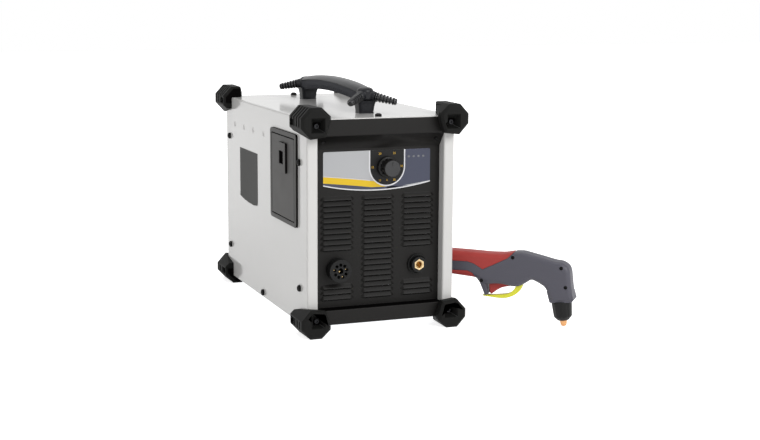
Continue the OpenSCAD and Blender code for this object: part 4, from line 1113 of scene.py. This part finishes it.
TRIGGER = [(84.6, 57.9), (91.3, 56.6), (99.2, 54.3), (107.1, 49.4), (113.1, 44.2), (116.5, 43.1),
           (118.3, 48), (118.9, 56), (118.9, 63), (84.6, 63)]
GUARD = [(67, 66), (73, 66), (76.8, 57), (80.4, 51.6), (85.2, 47), (90.2, 45), (98, 43.4),
         (106, 42.4), (112, 41.8), (117, 41.1), (129, 41), (130, 40.2), (129, 39.2), (121, 38.6),
         (107, 37.4), (97, 37.4), (89, 38.8), (81, 42), (73.3, 47.4), (67.8, 54.5), (65.6, 61.4),
         (65.6, 65)]


def torch_lever():
    """The trigger and the bow of its guard, each a soft-edged form on its own body."""
    trigger = pillow(TRIGGER, half=6, soft=1.6, cut=2.5, at=TORCH_SEAT)
    piece("torch_trigger_lever", trigger, "trigger", "torch_red", replaces=("torch_trigger",),
          sharp=40)
    guard = pillow(GUARD, half=5.5, soft=0.9, cut=5, at=TORCH_SEAT)
    piece("torch_guard_bow", guard, "guard", "guard_yellow", replaces=("torch_guard",), sharp=40)


NOZZLE_TILT = math.radians(7)
NOZZLE_AXIS = TORCH_BACK * math.sin(NOZZLE_TILT) + Z * math.cos(NOZZLE_TILT)
NOZZLE_SIDE = TORCH_BACK.cross(Z)
NOZZLE_SEAT = seat(TORCH_TIP, NOZZLE_SIDE, NOZZLE_AXIS.cross(NOZZLE_SIDE))
CUP_PROFILE = [(6.2, 10.4), (8.2, 10), (9.2, 10.6), (13.4, 15.2), (14.2, 17), (14.9, 26),
               (15.7, 35.5), (15.8, 38.4), (15.4, 40.4), (11.2, 40.4), (11.2, 30), (6.2, 30)]
TIP_PROFILE = [(0.6, 0.8), (2.2, 0.5), (3.4, 1.2), (4.4, 2.8), (5.0, 5), (5.4, 8), (5.7, 12),
               (5.7, 20)]
CUP_FLATS, CUP_DENT = 8, 0.5
TIP_RIBS, TIP_DENT = 12, 0.55


def cup_dent(angle, radius, height):
    if not (14 < height < 37 and radius > 12):
        return 0
    return CUP_DENT * max(0, math.cos(CUP_FLATS * angle)) ** 3


def tip_dent(angle, radius, height):
    return TIP_DENT * (0.5 + 0.5 * math.cos(TIP_RIBS * angle)) if 2 < height < 13 else 0


def torch_front():
    """Dark shield cup with shallow flats, and the ribbed copper nozzle below it."""
    cup = lofted(turned_rings(CUP_PROFILE, 96, cup_dent), NOZZLE_SEAT, closed=True)
    piece("torch_cup_body", cup, "torch", "black_plastic", replaces=("torch_shield_cup",), sharp=35)
    tip = lofted(turned_rings(TIP_PROFILE, 96, tip_dent), NOZZLE_SEAT)
    piece("torch_nozzle_tip", tip, "torch", "nozzle_copper", replaces=("torch_nozzle",), sharp=45)


# ---- light, floor and camera ----

WHITE = (1, 1, 1, 1)
AIM = (0, 0, 0.17)
LAMPS = (
    ("key_light", (1.3, -3.2, 2.2), (2.2, 1.8), 100),
    ("fill_light", (-3.2, -0.9, 1.3), (2.0, 2.0), 15),
    ("top_light", (-0.3, 0.6, 3.0), (2.4, 2.4), 28),
    ("front_light", (-0.75, -2.3, 0.75), (0.3, 0.5), 3),
)
AMBIENT = 0.3
FLOOR_SIZE, FLOOR_CORNER, FLOOR_T = 16000, 400, 4
GLOW_REACH, GLOW = (0.5, 2.5), (0.75, 1.2)


def soft_lamp(name, location, size, power):
    data = bpy.data.lights.new(name, "AREA")
    data.shape = "RECTANGLE"
    data.size, data.size_y = size
    data.energy = power
    lamp = placed(name, data)
    lamp.location = location
    lamp.rotation_euler = (Vector(AIM) - lamp.location).to_track_quat("-Z", "Y").to_euler()


def seen_ray(nodes, links):
    """1 for the rays that show the surroundings themselves, 0 for those that light the object."""
    path = nodes.new("ShaderNodeLightPath")
    total = path.outputs["Is Camera Ray"]
    for kind in ("Is Glossy Ray", "Is Transmission Ray"):
        either = nodes.new("ShaderNodeMath")
        either.operation, either.use_clamp = "ADD", True
        links.new(total, either.inputs[0])
        links.new(path.outputs[kind], either.inputs[1])
        total = either.outputs["Value"]
    return total


def studio():
    """Soft lamps in a white world, which shows at full strength and lights at a lower one."""
    for lamp in LAMPS:
        soft_lamp(*lamp)
    world = bpy.data.worlds.new("studio")
    bpy.context.scene.world = world
    world.use_nodes = True
    nodes, links = world.node_tree.nodes, world.node_tree.links
    ambient, seen = nodes["Background"], nodes.new("ShaderNodeBackground")
    for background, strength in ((ambient, AMBIENT), (seen, 1.0)):
        background.inputs["Color"].default_value = WHITE
        background.inputs["Strength"].default_value = strength
    choose = nodes.new("ShaderNodeMixShader")
    links.new(seen_ray(nodes, links), choose.inputs["Fac"])
    links.new(ambient.outputs["Background"], choose.inputs[1])
    links.new(seen.outputs["Background"], choose.inputs[2])
    links.new(choose.outputs["Shader"], nodes["World Output"].inputs["Surface"])


def floor():
    """A pale floor, bright enough to read as white where nothing shades it."""
    outline = round_rect(FLOOR_SIZE, FLOOR_SIZE, FLOOR_CORNER)
    obj = object_from("floor", prism(outline, -FLOOR_T, 0, seat((0, 0, 0), X, Y)))
    material = finish_of("floor_paint", (250, 250, 250), 0.9, tone=0.01, bump=0.02)
    nodes, links = material.node_tree.nodes, material.node_tree.links
    shader = nodes["Principled BSDF"]
    shader.inputs["Emission Color"].default_value = WHITE
    place = nodes.new("ShaderNodeTexCoord")
    distance = nodes.new("ShaderNodeVectorMath")
    distance.operation = "LENGTH"
    glow = nodes.new("ShaderNodeMapRange")
    for kind, limits in (("From", GLOW_REACH), ("To", GLOW)):
        for end, value in zip(("Min", "Max"), limits):
            glow.inputs[f"{kind} {end}"].default_value = value
    links.new(place.outputs["Object"], distance.inputs[0])
    links.new(distance.outputs["Value"], glow.inputs["Value"])
    shown = nodes.new("ShaderNodeMath")
    shown.operation = "MULTIPLY"
    links.new(glow.outputs["Result"], shown.inputs[0])
    links.new(seen_ray(nodes, links), shown.inputs[1])
    links.new(shown.outputs["Value"], shader.inputs["Emission Strength"])
    obj.data.materials.append(material)


SENSOR, LENS = 36, 67.03
CAMERA_PLACE = (-767.7, -2171.6, 528.2)
CAMERA_TURNS = (21.42, 9.68, 0.35)


def camera():
    """Stands where the picture was taken from, as solved from the edges of the case."""
    data = bpy.data.cameras.new("camera")
    data.sensor_width, data.lens = SENSOR, LENS
    obj = placed("camera", data)
    yaw, pitch, roll = (math.radians(a) for a in CAMERA_TURNS)
    level = math.cos(pitch)
    ahead = Vector((math.sin(yaw) * level, math.cos(yaw) * level, -math.sin(pitch)))
    right = Vector((math.cos(yaw), -math.sin(yaw), 0))
    up = right.cross(ahead)
    tilted_right = math.cos(roll) * right + math.sin(roll) * up
    tilted_up = -math.sin(roll) * right + math.cos(roll) * up
    matrix = Matrix((tilted_right, tilted_up, -ahead)).transposed().to_4x4()
    matrix.translation = Vector(CAMERA_PLACE) * MM
    obj.matrix_world = matrix
    bpy.context.scene.camera = obj


plain_parts()
rear_panel()
cover()
door()
bumpers()
bumper_details()
front_panel()
ledge_shade_strip()
louvre_hoods()
control_film()
indicator_lenses()
numerals()
knob()
sockets()
handle()
torch_shells()
torch_lever()
torch_front()
floor()
studio()
camera()
bpy.context.scene.view_settings.view_transform = "Standard"
